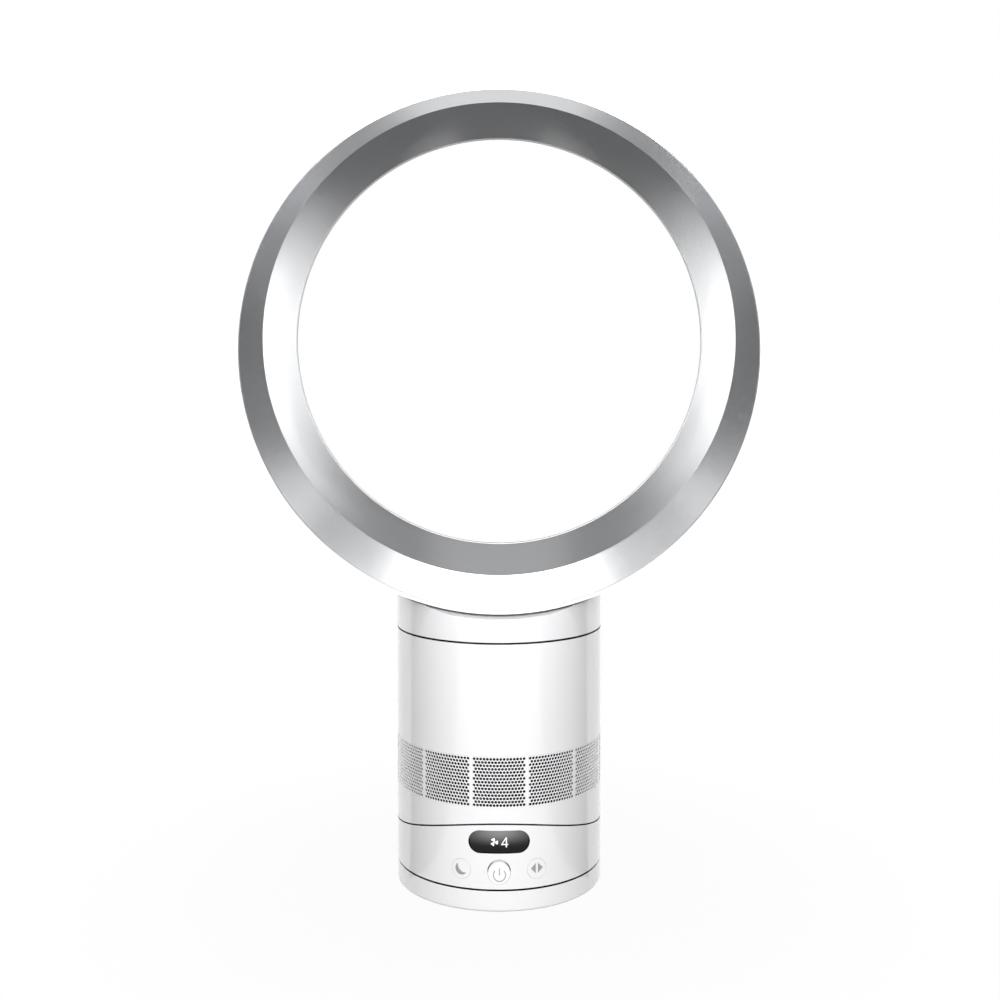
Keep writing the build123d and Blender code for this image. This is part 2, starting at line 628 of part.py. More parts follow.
def side_button(angle):
    """Round button on the curved wall, facing outwards at an angle round the base."""
    with BuildSketch(radial_plane(angle, INSIDE_R - 3, SIDE_Z)) as cap:
        Circle(SIDE_R)
    extrude(cap.sketch, amount=10)
    disc(BASE_R, 0, TILT_Z, mode=Mode.INTERSECT)
    with BuildSketch(radial_plane(angle, INSIDE_R - 3.4, SIDE_Z)) as flange:
        Circle(SIDE_R + FLANGE_W)
    extrude(flange.sketch, amount=2.5)
    with BuildSketch(radial_plane(angle, BUTTON_BACK, SIDE_Z)) as stem:
        Circle(BUTTON_STEM_R)
    extrude(stem.sketch, amount=INSIDE_R - 3 - BUTTON_BACK)


with BuildPart() as sleep_button:
    side_button(SIDE_BUTTONS["sleep"])
sleep_button.part.label = "sleep_button"
export_step(sleep_button.part, "parts/sleep_button.step")

with BuildPart() as swing_button:
    side_button(SIDE_BUTTONS["swing"])
swing_button.part.label = "swing_button"
export_step(swing_button.part, "parts/swing_button.step")


# ---------------------------------------------------------------- tower

with BuildPart() as panel_window:
    arc_wall(BASE_R + 2, INSIDE_R - 1, PANEL_SPAN + 0.08, PANEL_LOW - FIT, PANEL_HIGH + FIT)

with BuildPart() as tower_shell:
    # screw bosses with a rib to the wall, cut to sit on the saddle
    disc(SADDLE_POST_R, SADDLE_LOW, BOARD_Z, spots=SADDLE_SPOTS)
    for spot in RIB_SPOTS:
        with Locations((*spot, BOARD_Z / 2)):
            Box(2 * SADDLE_POST_R, SADDLE_POST_R, BOARD_Z)
    disc(INSIDE_R + WALL / 2, 0, BOARD_Z, mode=Mode.INTERSECT)
    tilt_drum(SADDLE_R - SADDLE_T, Mode.INTERSECT)
    disc(BASE_R, 0, TOWER_TOP, bore=INSIDE_R)
    disc(INSIDE_R + WALL / 2, MOUTH_Z - 1.5, MOUTH_Z, bore=INSIDE_R - 3.5)
    tilt_drum(SADDLE_R, Mode.INTERSECT)
    disc(SCREW_R + SEAT, 0, BOARD_Z - 3, spots=SADDLE_SPOTS, mode=Mode.SUBTRACT)
    with PolarLocations(0, PANEL_COUNT):
        add(panel_window.part, mode=Mode.SUBTRACT)
tower_shell.part.label = "tower_shell"
export_step(tower_shell.part, "parts/tower_shell.step")

# Inlet: equal curved panels, each pierced by staggered rows of round holes
with BuildPart() as inlet_panel:
    arc_wall(BASE_R, INSIDE_R, PANEL_SPAN, PANEL_LOW, PANEL_HIGH)
    hole_low = (PANEL_LOW + PANEL_HIGH - (HOLE_ROWS - 1) * HOLE_PITCH) / 2
    hole_step = degrees(HOLE_PITCH / BASE_R)
    holes = []
    for row in range(HOLE_ROWS):
        in_row = HOLE_COLUMNS - row % 2
        for column in range(in_row):
            turn = 270 + (column - (in_row - 1) / 2) * hole_step
            holes.append(radial_plane(turn, INSIDE_R - 1, hole_low + row * HOLE_PITCH).location)
    with Locations(*holes):
        Cylinder(HOLE_R, 2 * WALL, align=(Align.CENTER, Align.CENTER, Align.MIN), mode=Mode.SUBTRACT)

with BuildPart() as inlet_grille:
    with PolarLocations(0, PANEL_COUNT):
        add(inlet_panel.part)
inlet_grille.part.label = "inlet_grille"
export_step(inlet_grille.part, "parts/inlet_grille.step")

with BuildPart() as hook_stems:
    with Locations((-HOOK_X, 0, TILT_Z - HOOK_R), (HOOK_X, 0, TILT_Z - HOOK_R)):
        Box(STEM_W, STEM_L, 14)
    tilt_drum(HOOK_R, Mode.INTERSECT)
    tilt_drum(SADDLE_R - SADDLE_T / 2, Mode.SUBTRACT)

with BuildPart() as saddle:
    disc(INSIDE_R - SEAT, 0, TILT_Z)
    tilt_drum(SADDLE_R, Mode.INTERSECT)
    tilt_drum(SADDLE_R - SADDLE_T, Mode.SUBTRACT)
    add(hook_stems.part)
    disc(POST_R, SADDLE_LOW + SADDLE_T + 0.2, BOARD_Z, spots=BOARD_SPOTS)
    disc(SCREW_R + SEAT, BOARD_Z - 6.5, BOARD_Z, spots=BOARD_SPOTS, mode=Mode.SUBTRACT)
    disc(SCREW_R + SEAT, 0, BOARD_Z, spots=SADDLE_SPOTS, mode=Mode.SUBTRACT)
    disc(HEAD_R + SEAT, 0, SADDLE_HEAD_LOW + HEAD_H, spots=SADDLE_SPOTS, mode=Mode.SUBTRACT)
    disc(SCREW_R + SEAT, 0, SADDLE_LOW + 1, spots=HOOK_SPOTS, mode=Mode.SUBTRACT)
saddle.part.label = "saddle"
export_step(saddle.part, "parts/saddle.step")

with BuildPart() as saddle_screws:
    screws(SADDLE_SPOTS, SADDLE_HEAD_LOW, BOARD_Z - 4)
saddle_screws.part.label = "saddle_screws"
export_step(saddle_screws.part, "parts/saddle_screws.step")

with BuildPart() as tilt_hooks:
    with Locations((-HOOK_X, 0, TILT_Z - HOOK_R), (HOOK_X, 0, TILT_Z - HOOK_R)):
        Box(STEM_W + 2 * HOOK_OVERHANG, STEM_L, 14)
    tilt_drum(HOOK_R + HOOK_H, Mode.INTERSECT)
    tilt_drum(HOOK_R, Mode.SUBTRACT)
    disc(SCREW_R + SEAT, 0, TILT_Z, spots=HOOK_SPOTS, mode=Mode.SUBTRACT)
    disc(HEAD_R + SEAT, 0, HOOK_HEAD_LOW + HEAD_H, spots=HOOK_SPOTS, mode=Mode.SUBTRACT)
tilt_hooks.part.label = "tilt_hooks"
export_step(tilt_hooks.part, "parts/tilt_hooks.step")

with BuildPart() as hook_screws:
    screws(HOOK_SPOTS, HOOK_HEAD_LOW, SADDLE_LOW + 0.5)
hook_screws.part.label = "hook_screws"
export_step(hook_screws.part, "parts/hook_screws.step")

with BuildPart() as tilt_glides:
    with Locations((-GLIDE_X, 0, SADDLE_LOW), (GLIDE_X, 0, SADDLE_LOW)):
        Box(GLIDE_W, GLIDE_L, 16)
    tilt_drum(CRADLE_R - GAP, Mode.INTERSECT)
    tilt_drum(SADDLE_R + SEAT, Mode.SUBTRACT)
tilt_glides.part.label = "tilt_glides"
export_step(tilt_glides.part, "parts/tilt_glides.step")

with BuildPart() as driver_board:
    disc(BOARD_R, BOARD_Z, BOARD_TOP)
    disc(SCREW_R + SEAT, BOARD_Z, BOARD_TOP, spots=BOARD_SPOTS, mode=Mode.SUBTRACT)
driver_board.part.label = "driver_board"
export_step(driver_board.part, "parts/driver_board.step")

with BuildPart() as board_screws:
    screws(BOARD_SPOTS, BOARD_TOP, BOARD_Z - 6, head_down=False)
board_screws.part.label = "board_screws"
export_step(board_screws.part, "parts/board_screws.step")

with BuildPart() as capacitors:
    disc(CAPACITOR_R, BOARD_TOP, BOARD_TOP + CAPACITOR_H, spots=[(-19, 4), (-19, -16)])
    fillet(capacitors.edges().group_by(Axis.Z)[-1], 1)
capacitors.part.label = "capacitors"
export_step(capacitors.part, "parts/capacitors.step")

with BuildPart() as choke:
    disc(10, BOARD_TOP, BOARD_TOP + 9, bore=4.5, spots=[(14, -24)])
    fillet(choke.edges().group_by(Axis.Z)[-1], 1.5)
choke.part.label = "choke"
export_step(choke.part, "parts/choke.step")

with BuildPart() as heat_sink:
    with Locations((16, 12, BOARD_TOP + 1.5)):
        Box(34, 22, 3)
    with Locations((16, 12, BOARD_TOP + 9)):
        with GridLocations(5, 0, 7, 1):
            Box(1.6, 22, 14)
heat_sink.part.label = "heat_sink"
export_step(heat_sink.part, "parts/heat_sink.step")

with BuildPart() as silencer_foam:
    disc(INSIDE_R - GAP, BOARD_Z, PANEL_LOW - 1, bore=INSIDE_R - GAP - FOAM_W)
    tilt_drum(SADDLE_R - SADDLE_T - GAP, Mode.INTERSECT)
silencer_foam.part.label = "silencer_foam"
export_step(silencer_foam.part, "parts/silencer_foam.step")


# ---------------------------------------------------------------- fan unit

def turned(outline):
    """Solid of revolution about Z from a closed outline of (radius, height) points."""
    with BuildSketch(Plane.XZ) as section:
        with BuildLine():
            Polyline(*outline, close=True)
        make_face()
    revolve(section.sketch, axis=Axis.Z)


def shroud_r(height):
    """Inside radius of the conical part of the shroud."""
    return EYE_R + SHROUD_SLOPE * (height - SHROUD_LOW)


def hub_r(height):
    """Outside radius of the impeller hub."""
    return HUB_LOW_R + (HUB_HIGH_R - HUB_LOW_R) * (height - IMPELLER_LOW) / (IMPELLER_HIGH - IMPELLER_LOW)


def blade(stations, thickness):
    """Twisted blade through (height, inner radius, outer radius, angle) stations."""
    faces = []
    for height, inner_r, outer_r, angle in stations:
        with BuildSketch(Plane.XY.offset(height).rotated((0, 0, angle))) as section:
            with Locations(((inner_r + outer_r) / 2, 0)):
                Rectangle(outer_r - inner_r, thickness)
        faces.append(section.sketch.face())
    loft(faces)


with BuildPart() as bell_mouth:
    disc(INSIDE_R - SEAT, MOUTH_Z, SHROUD_LOW, bore=EYE_R)
    lip = bell_mouth.edges().filter_by(GeomType.CIRCLE).group_by(Axis.Z)[0].sort_by(SortBy.RADIUS)[0]
    fillet(lip, MOUTH_H - 0.3)
bell_mouth.part.label = "bell_mouth"
export_step(bell_mouth.part, "parts/bell_mouth.step")

with BuildPart() as impeller_shroud:
    turned([
        (EYE_R, SHROUD_LOW),
        (SHROUD_R, IMPELLER_HIGH),
        (SHROUD_R, SHROUD_TOP),
        (INSIDE_R - SEAT, SHROUD_TOP),
        (INSIDE_R - SEAT, SHROUD_TOP - WALL),
        (SHROUD_R + SHROUD_WALL, SHROUD_TOP - WALL),
        (SHROUD_R + SHROUD_WALL, IMPELLER_HIGH),
        (EYE_R + SHROUD_WALL, SHROUD_LOW),
    ])
impeller_shroud.part.label = "impeller_shroud"
export_step(impeller_shroud.part, "parts/impeller_shroud.step")

with BuildPart() as impeller_blade:
    middle = (IMPELLER_LOW + IMPELLER_HIGH) / 2
    blade([
        (IMPELLER_LOW, HUB_LOW_R - 1.5, shroud_r(IMPELLER_LOW) - TIP_GAP, 0),
        (middle, hub_r(middle) - 1.5, shroud_r(middle) - TIP_GAP, 17),
        (IMPELLER_HIGH, HUB_HIGH_R - 1.5, shroud_r(IMPELLER_HIGH) - TIP_GAP, 36),
    ], BLADE_T)

with BuildPart() as impeller:
    turned([
        (SHAFT_R + PRESS, IMPELLER_LOW),
        (HUB_LOW_R, IMPELLER_LOW),
        (HUB_HIGH_R, IMPELLER_HIGH),
        (HUB_HIGH_R - HUB_WALL, IMPELLER_HIGH),
        (hub_r(IMPELLER_LOW + WALL) - HUB_WALL, IMPELLER_LOW + WALL),
        (SHAFT_R + 4, IMPELLER_LOW + WALL),
        (SHAFT_R + 4, IMPELLER_HIGH - 6),
        (SHAFT_R + PRESS, IMPELLER_HIGH - 6),
    ])
    with PolarLocations(0, BLADES):
        add(impeller_blade.part)
impeller.part.label = "impeller"
export_step(impeller.part, "parts/impeller.step")

with BuildPart() as motor_shaft:
    disc(SHAFT_R, IMPELLER_LOW - NUT_H - 1, BUCKET_CEILING - 1)
motor_shaft.part.label = "motor_shaft"
export_step(motor_shaft.part, "parts/motor_shaft.step")

with BuildPart() as impeller_nut:
    with BuildSketch(Plane.XY.offset(IMPELLER_LOW - NUT_H)) as hexagon:
        RegularPolygon(SHAFT_R + 2.5, 6)
        Circle(SHAFT_R + PRESS, mode=Mode.SUBTRACT)
    extrude(hexagon.sketch, amount=NUT_H)
impeller_nut.part.label = "impeller_nut"
export_step(impeller_nut.part, "parts/impeller_nut.step")

with BuildPart() as rotor_magnet:
    disc(ROTOR_R, STATOR_LOW, STATOR_HIGH, bore=SHAFT_R + PRESS)
rotor_magnet.part.label = "rotor_magnet"
export_step(rotor_magnet.part, "parts/rotor_magnet.step")

with BuildPart() as guide_vane:
    blade([
        (VANE_LOW, BUCKET_R + 1, SHROUD_R - 1, 0),
        ((VANE_LOW + VANE_HIGH) / 2, BUCKET_R + 1, SHROUD_R - 1, -13),
        (VANE_HIGH, BUCKET_R + 1, SHROUD_R - 1, -17),
    ], BLADE_T)

with BuildPart() as diffuser_vanes:
    disc(BUCKET_R + SEAT + VANE_WALL, VANE_LOW, VANE_HIGH, bore=BUCKET_R + SEAT)
    disc(SHROUD_R - SEAT, VANE_LOW, VANE_HIGH, bore=SHROUD_R - SEAT - VANE_WALL)
    with PolarLocations(0, VANES):
        add(guide_vane.part)
diffuser_vanes.part.label = "diffuser_vanes"
export_step(diffuser_vanes.part, "parts/diffuser_vanes.step")

with BuildPart() as motor_bucket:
    disc(BUCKET_R, BUCKET_LOW, BUCKET_FLOOR, bore=SHAFT_R + 1)
    disc(BUCKET_R, BUCKET_LOW, BUCKET_SPLIT, bore=BUCKET_R - THIN_WALL)
    disc(BEARING_R + 2.5, BUCKET_LOW, BUCKET_FLOOR + BEARING_W, bore=BEARING_R + FIT)
    disc(STATOR_R + THIN_WALL, BUCKET_LOW, STATOR_LOW, bore=STATOR_R - 3)
    disc(STATOR_R + THIN_WALL, STATOR_LOW, STATOR_HIGH - 2, bore=STATOR_R + FIT)
    disc(BEARING_R + FIT, BUCKET_LOW, BUCKET_FLOOR, bore=SHAFT_R + 1)
motor_bucket.part.label = "motor_bucket"
export_step(motor_bucket.part, "parts/motor_bucket.step")

with BuildPart() as motor_cap:
    disc(BUCKET_R, BUCKET_SPLIT, BUCKET_TOP)
    fillet(motor_cap.edges().group_by(Axis.Z)[-1], CAP_ROUND)
    disc(BUCKET_R - THIN_WALL, BUCKET_SPLIT, BUCKET_TOP - CAP_ROUND - 0.5, mode=Mode.SUBTRACT)
    disc(BUCKET_R - CAP_ROUND, BUCKET_SPLIT, BUCKET_CEILING, mode=Mode.SUBTRACT)
    disc(BEARING_R + 2.5, BUCKET_CEILING - BEARING_W, BUCKET_CEILING, bore=BEARING_R + FIT)
motor_cap.part.label = "motor_cap"
export_step(motor_cap.part, "parts/motor_cap.step")

with BuildPart() as bearings:
    disc(BEARING_R, BUCKET_FLOOR, BUCKET_FLOOR + BEARING_W, bore=SHAFT_R + PRESS)
    disc(BEARING_R, BUCKET_CEILING - BEARING_W, BUCKET_CEILING, bore=SHAFT_R + PRESS)
bearings.part.label = "bearings"
export_step(bearings.part, "parts/bearings.step")

with BuildPart() as stator_core:
    disc(STATOR_R, STATOR_LOW, STATOR_HIGH, bore=STATOR_R - 5)
    with Locations((0, 0, (STATOR_LOW + STATOR_HIGH) / 2)):
        with PolarLocations((STATOR_R + ROTOR_R) / 2 - 2, TEETH):
            Box(STATOR_R - ROTOR_R - 4, TOOTH_W, STATOR_HIGH - STATOR_LOW)
    disc(ROTOR_R + AIR_GAP, STATOR_LOW, STATOR_HIGH, mode=Mode.SUBTRACT)
stator_core.part.label = "stator_core"
export_step(stator_core.part, "parts/stator_core.step")

with BuildPart() as stator_windings:
    with Locations((0, 0, (STATOR_LOW + STATOR_HIGH) / 2)):
        with PolarLocations(STATOR_R - 10.5, TEETH):
            Box(9, TOOTH_W + 5, STATOR_HIGH - STATOR_LOW + 5)
            Box(9.2, TOOTH_W + 0.2, STATOR_HIGH - STATOR_LOW + 0.2, mode=Mode.SUBTRACT)
stator_windings.part.label = "stator_windings"
export_step(stator_windings.part, "parts/stator_windings.step")


# ---------------------------------------------------------------- twist lock

with BuildPart() as ledge:
    # the lugs enter between the ledges and turn under them
    arc_wall(LOCK_IN_R + 1, LOCK_LEDGE_R, 360 / LUGS - LUG_SPAN - 4, LEDGE_LOW, LEDGE_HIGH)

with BuildPart() as lock_ring:
    disc(INSIDE_R - SEAT, SHROUD_TOP, LOCK_TOP, bore=LOCK_IN_R)
    with PolarLocations(0, LUGS):
        add(ledge.part)
lock_ring.part.label = "lock_ring"
export_step(lock_ring.part, "parts/lock_ring.step")

with BuildPart() as neck_seal:
    disc(COLLAR_R, SHROUD_TOP, COLLAR_LOW, bore=SHROUD_R + 0.5)
neck_seal.part.label = "neck_seal"
export_step(neck_seal.part, "parts/neck_seal.step")

with BuildPart() as lug:
    arc_wall(LOCK_IN_R - GAP, COLLAR_R - 1, LUG_SPAN, COLLAR_LOW, COLLAR_LOW + LUG_H)

with BuildPart() as ring_collar:
    disc(COLLAR_R, COLLAR_LOW, FLANGE_TOP, bore=COLLAR_R - COLLAR_WALL)
    disc(INSIDE_R - SEAT, LOCK_TOP, FLANGE_TOP, bore=COLLAR_R - COLLAR_WALL)
    with PolarLocations(0, LUGS):
        add(lug.part)
    disc(SCREW_R + SEAT, LOCK_TOP, FLANGE_TOP, spots=COLLAR_SPOTS, mode=Mode.SUBTRACT)
    disc(HEAD_R + SEAT, LOCK_TOP, LOCK_TOP + HEAD_H, spots=COLLAR_SPOTS, mode=Mode.SUBTRACT)
ring_collar.part.label = "ring_collar"
export_step(ring_collar.part, "parts/ring_collar.step")

with BuildPart() as collar_screws:
    screws(COLLAR_SPOTS, LOCK_TOP, FLANGE_TOP + 6)
collar_screws.part.label = "collar_screws"
export_step(collar_screws.part, "parts/collar_screws.step")


# ---------------------------------------------------------------- ring

OUTER_AXIS = Axis((0, 0, OUTER_Z), (0, 1, 0))
INNER_AXIS = Axis((0, 0, INNER_Z), (0, 1, 0))


def nose_profile(inset):
    """Half section of the outer casing, moved inwards by inset, down to its axis."""
    nose_w = OUTER_R - NOSE_R - inset
    nose_l = RING_BACK - NOSE_Y - inset
    front = RING_FRONT - (10 if inset else 0)
    with BuildSketch(Plane.YZ) as section:
        with BuildLine():
            start = (NOSE_Y, OUTER_Z + OUTER_R - inset)
            end = (RING_BACK - inset, OUTER_Z + NOSE_R)
            Polyline(end, (RING_BACK - inset, OUTER_Z), (front, OUTER_Z), (front, start[1]), start)
            EllipticalCenterArc((NOSE_Y, OUTER_Z + NOSE_R), nose_l, nose_w, start_angle=0, arc_size=90)
        make_face()
    revolve(section.sketch, axis=OUTER_AXIS)


def lip_core():
    """Everything inside the cavity-side face of the rear lip, about the inner axis."""
    slot_r = COANDA_R + SLIT
    back_y = RING_BACK + 5

    def face_r(y):
        return COANDA_CENTRE_R - sqrt(slot_r ** 2 - (y - THROAT_Y) ** 2)

    mid_y = LIP_Y + 2
    end_y = LIP_Y + 4
    with BuildSketch(Plane.YZ) as section:
        with BuildLine():
            curve = ThreePointArc(
                (LIP_Y, INNER_Z + face_r(LIP_Y)),
                (mid_y, INNER_Z + face_r(mid_y)),
                (end_y, INNER_Z + face_r(end_y)),
            )
            out = (back_y, INNER_Z + face_r(end_y) + 4)
            Polyline(curve @ 1, out, (back_y, INNER_Z), (LIP_Y, INNER_Z), curve @ 0)
        make_face()
    revolve(section.sketch, axis=INNER_AXIS)


with BuildPart() as ring_cavity:
    nose_profile(RIM_W)

with BuildPart() as rear_lip:
    lip_core()

with BuildPart() as neck_bridge:
    # joins the neck to the ring under the ring's middle
    disc(BASE_R, NECK_LOW, NECK_HIGH)
    with Locations((0, (BRIDGE_FRONT + BRIDGE_BACK) / 2, OUTER_Z - OUTER_R)):
        Box(2 * BASE_R, BRIDGE_BACK - BRIDGE_FRONT, OUTER_R, mode=Mode.INTERSECT)
    ring_drum(BRIDGE_R, OUTER_Z, Mode.SUBTRACT)

with BuildPart() as neck_duct:
    disc(INSIDE_R, NECK_LOW - 5, NECK_HIGH)
    ring_drum(SHELF_R + WALL, OUTER_Z, Mode.SUBTRACT)

with BuildPart() as bridge_duct:
    disc(INSIDE_R, NECK_LOW, NECK_HIGH)
    with Locations((0, (BRIDGE_FRONT + BRIDGE_BACK) / 2, OUTER_Z - OUTER_R)):
        Box(2 * BASE_R, BRIDGE_BACK - BRIDGE_FRONT - 2 * WALL, OUTER_R, mode=Mode.INTERSECT)
    ring_drum(BRIDGE_R, OUTER_Z, Mode.SUBTRACT)

with BuildPart() as hollow:
    # the air's way from the neck into the ring; the rear lip stays
    add(ring_cavity.part)
    add(neck_duct.part)
    add(bridge_duct.part)
    add(rear_lip.part, mode=Mode.SUBTRACT)

with BuildPart() as bore:
    # hole through the outer casing, its back edge rounded outwards
    with BuildSketch(Plane.YZ) as bore_section:
        with BuildLine():
            round_y = RING_BACK - LIP_ROUND
            half = LIP_ROUND * sqrt(0.5)
            flare = ThreePointArc(
                (round_y, INNER_Z + LIP_R),
                (round_y + half, INNER_Z + LIP_R + LIP_ROUND - half),
                (RING_BACK, INNER_Z + LIP_R + LIP_ROUND),
            )
            Polyline(
                flare @ 1,
                (RING_BACK + 5, INNER_Z + LIP_R + LIP_ROUND),
                (RING_BACK + 5, INNER_Z),
                (RING_FRONT - 5, INNER_Z),
                (RING_FRONT - 5, INNER_Z + LIP_R),
                flare @ 0,
            )
        make_face()
    revolve(bore_section.sketch, axis=INNER_AXIS)

with BuildPart() as outer_casing:
    disc(BASE_R, NECK_LOW, NECK_HIGH)
    ring_drum(SHELF_R, OUTER_Z, Mode.SUBTRACT)
    add(neck_bridge.part)
    nose_profile(0)
    add(bore.part, mode=Mode.SUBTRACT)
    add(hollow.part, mode=Mode.SUBTRACT)
    disc(POST_R, FLANGE_TOP, FLANGE_TOP + 9, spots=COLLAR_SPOTS)
    disc(SCREW_R + SEAT, FLANGE_TOP, FLANGE_TOP + 7, spots=COLLAR_SPOTS, mode=Mode.SUBTRACT)
outer_casing.part.label = "outer_casing"
export_step(outer_casing.part, "parts/outer_casing.step")


def bevel(front_r, back_r, shift):
    """Slanted funnel from a circle on the outer axis to a circle on the inner axis."""
    with BuildSketch(Plane.XZ.offset(-RING_FRONT - shift)) as front:
        with Locations((0, OUTER_Z)):
            Circle(front_r)
    with BuildSketch(Plane.XZ.offset(-RIDGE_Y - shift)) as back:
        with Locations((0, INNER_Z)):
            Circle(back_r)
    loft([front.sketch.face(), back.sketch.face()], ruled=True)


def diffuser(wall, front_y):
    """Solid inside the inner casing's straight cone and its round behind the throat."""
    round_r = COANDA_R - wall
    start_r = RIDGE_R + wall + (THROAT_R - RIDGE_R) * (front_y - RIDGE_Y) / (THROAT_Y - RIDGE_Y)
    end_y = CASING_END + (0 if wall else 2)

    def round_out(y):
        return COANDA_CENTRE_R - sqrt(round_r ** 2 - (y - THROAT_Y) ** 2)

    mid_y = (THROAT_Y + end_y) / 2
    with BuildSketch(Plane.YZ) as section:
        with BuildLine():
            curve = ThreePointArc(
                (THROAT_Y, INNER_Z + round_out(THROAT_Y)),
                (mid_y, INNER_Z + round_out(mid_y)),
                (end_y, INNER_Z + round_out(end_y)),
            )
            mouth = (front_y, INNER_Z + start_r)
            Polyline(curve @ 1, (end_y, INNER_Z), (front_y, INNER_Z), mouth, curve @ 0)
        make_face()
    revolve(section.sketch, axis=INNER_AXIS)


with BuildPart() as air_path:
    bevel(FLANGE_R - 0.6, RIDGE_R, 0)
    diffuser(0, RIDGE_Y)

with BuildPart() as inner_casing:
    ring_drum(FLANGE_R, OUTER_Z, Mode.ADD, front=RING_FRONT, back=RING_FRONT + FLANGE_T)
    bevel(FLANGE_R, RIDGE_R + CASING_WALL, FLANGE_T)
    diffuser(CASING_WALL, RIDGE_Y + FLANGE_T)
    add(air_path.part, mode=Mode.SUBTRACT)
inner_casing.part.label = "inner_casing"
export_step(inner_casing.part, "parts/inner_casing.step")

with BuildPart() as slot_spacers:
    # small feet on the back of the inner casing that keep the slit open
    back_r = COANDA_CENTRE_R - sqrt(COANDA_R ** 2 - (CASING_END - THROAT_Y) ** 2)
    with BuildSketch(Plane.XZ.offset(-CASING_END)) as feet:
        with Locations((0, INNER_Z)):
            with PolarLocations(back_r + CASING_WALL / 2 + 0.2, SPACERS):
                Rectangle(CASING_WALL - 0.4, 3)
    extrude(feet.sketch, amount=-1.0)
slot_spacers.part.label = "slot_spacers"
export_step(slot_spacers.part, "parts/slot_spacers.step")

with BuildPart() as flow_divider:
    # wedge that parts the rising air to the left and right, held between the bridge's two walls
    with BuildSketch(Plane.YZ.offset(-DIVIDER_W / 2)) as side_view:
        with BuildLine():
            Polyline(
                (BRIDGE_FRONT + WALL, DIVIDER_LOW),
                (BRIDGE_BACK - WALL, DIVIDER_LOW),
                (BRIDGE_BACK - WALL - 4, DIVIDER_HIGH),
                (-28, DIVIDER_HIGH),
                (BRIDGE_FRONT + WALL, DIVIDER_LOW + 5),
                close=True,
            )
        make_face()
    extrude(side_view.sketch, amount=DIVIDER_W)
    with BuildSketch(Plane.XZ.offset(-BRIDGE_BACK)) as front_view:
        with BuildLine():
            Polyline(
                (-1, DIVIDER_LOW),
                (1, DIVIDER_LOW),
                (DIVIDER_W / 2, DIVIDER_HIGH),
                (-DIVIDER_W / 2, DIVIDER_HIGH),
                close=True,
            )
        make_face()
    extrude(front_view.sketch, amount=BRIDGE_BACK - BRIDGE_FRONT, mode=Mode.INTERSECT)
flow_divider.part.label = "flow_divider"
export_step(flow_divider.part, "parts/flow_divider.step")
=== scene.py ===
"""Desk fan with a hollow ring on a round tower: its finishes, printed marks, fine inlet holes and studio."""

import json
import math

import bpy
import numpy as np
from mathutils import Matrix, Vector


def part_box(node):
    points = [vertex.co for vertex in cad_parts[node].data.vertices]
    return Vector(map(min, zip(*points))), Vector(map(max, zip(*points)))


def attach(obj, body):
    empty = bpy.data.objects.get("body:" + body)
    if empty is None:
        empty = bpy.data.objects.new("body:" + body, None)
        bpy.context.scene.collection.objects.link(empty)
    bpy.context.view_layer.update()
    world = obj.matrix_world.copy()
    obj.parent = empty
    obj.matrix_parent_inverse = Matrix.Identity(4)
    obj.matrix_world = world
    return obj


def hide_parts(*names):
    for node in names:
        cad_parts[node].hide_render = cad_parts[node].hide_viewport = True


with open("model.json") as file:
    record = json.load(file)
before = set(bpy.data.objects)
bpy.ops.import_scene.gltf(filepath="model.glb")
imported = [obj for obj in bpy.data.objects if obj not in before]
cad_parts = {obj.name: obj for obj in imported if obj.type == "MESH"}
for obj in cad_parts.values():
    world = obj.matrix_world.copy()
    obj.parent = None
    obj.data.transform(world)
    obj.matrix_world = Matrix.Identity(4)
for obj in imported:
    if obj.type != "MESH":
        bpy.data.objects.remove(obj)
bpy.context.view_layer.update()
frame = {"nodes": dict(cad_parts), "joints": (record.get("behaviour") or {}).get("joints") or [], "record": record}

MM = 0.001


# ---------------------------------------------------------------- sizes shared by finishes and pieces

foot_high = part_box("foot_shell")[1]
grille_low, grille_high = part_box("inlet_grille")
window_low, window_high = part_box("display_window")
sleep_low, sleep_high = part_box("sleep_button")
casing_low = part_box("outer_casing")[0]

BASE_R = foot_high.x                        # outside of the foot, the turret and the tower
WALL = 2.5 * MM
INSIDE_R = BASE_R - WALL
WINDOW_MIDDLE = (window_low.z + window_high.z) / 2

TILT_Z = next(j["pos_m"][2] for j in frame["joints"] if j["name"] == "tilt")
TILT_SEAM = 0.8 * MM
CRADLE_R = 180.5 * MM                       # lower face of the tilt seam, about the tilt axis
SADDLE_R = CRADLE_R - TILT_SEAM             # its upper face

RING_AXIS_Z = 375.4 * MM
RING_R = 178.0 * MM
RING_FRONT_Y = -56.5 * MM                   # front of the ring's rim; the neck stands further out
BRIDGE_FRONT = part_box("inner_casing")[0].y + 4.0 * MM   # front of the neck's bridge, behind the rim
NECK_TOP = casing_low.z + 30.0 * MM         # over the neck, under the ring's opening

SEAM_LEVELS = (15.2 * MM, 16.1 * MM, 180.3 * MM, 181.2 * MM)   # the foot's seam and the neck's
SEAM_SHADE_REACH = 0.22 * MM                        # painted shade on the white, on either side of the level seams
ON_FACE = 0.12 * MM                         # a point this near to a face belongs to it
UNDER_SKIN = 0.25 * MM                      # deeper than this the bridge is out of sight
FAR_OFF = 1.0                               # a plane or radius that no piece reaches


# ---------------------------------------------------------------- nodes


def fill(tree, node, values):
    """Feeds a node's inputs, by name or number: sockets are linked, colours and numbers are set."""
    for label, value in values.items():
        if isinstance(value, bpy.types.NodeSocket):
            tree.links.new(value, node.inputs[label])
        elif isinstance(value, tuple):
            node.inputs[label].default_value = (*value, 1.0)
        else:
            node.inputs[label].default_value = value
    return node


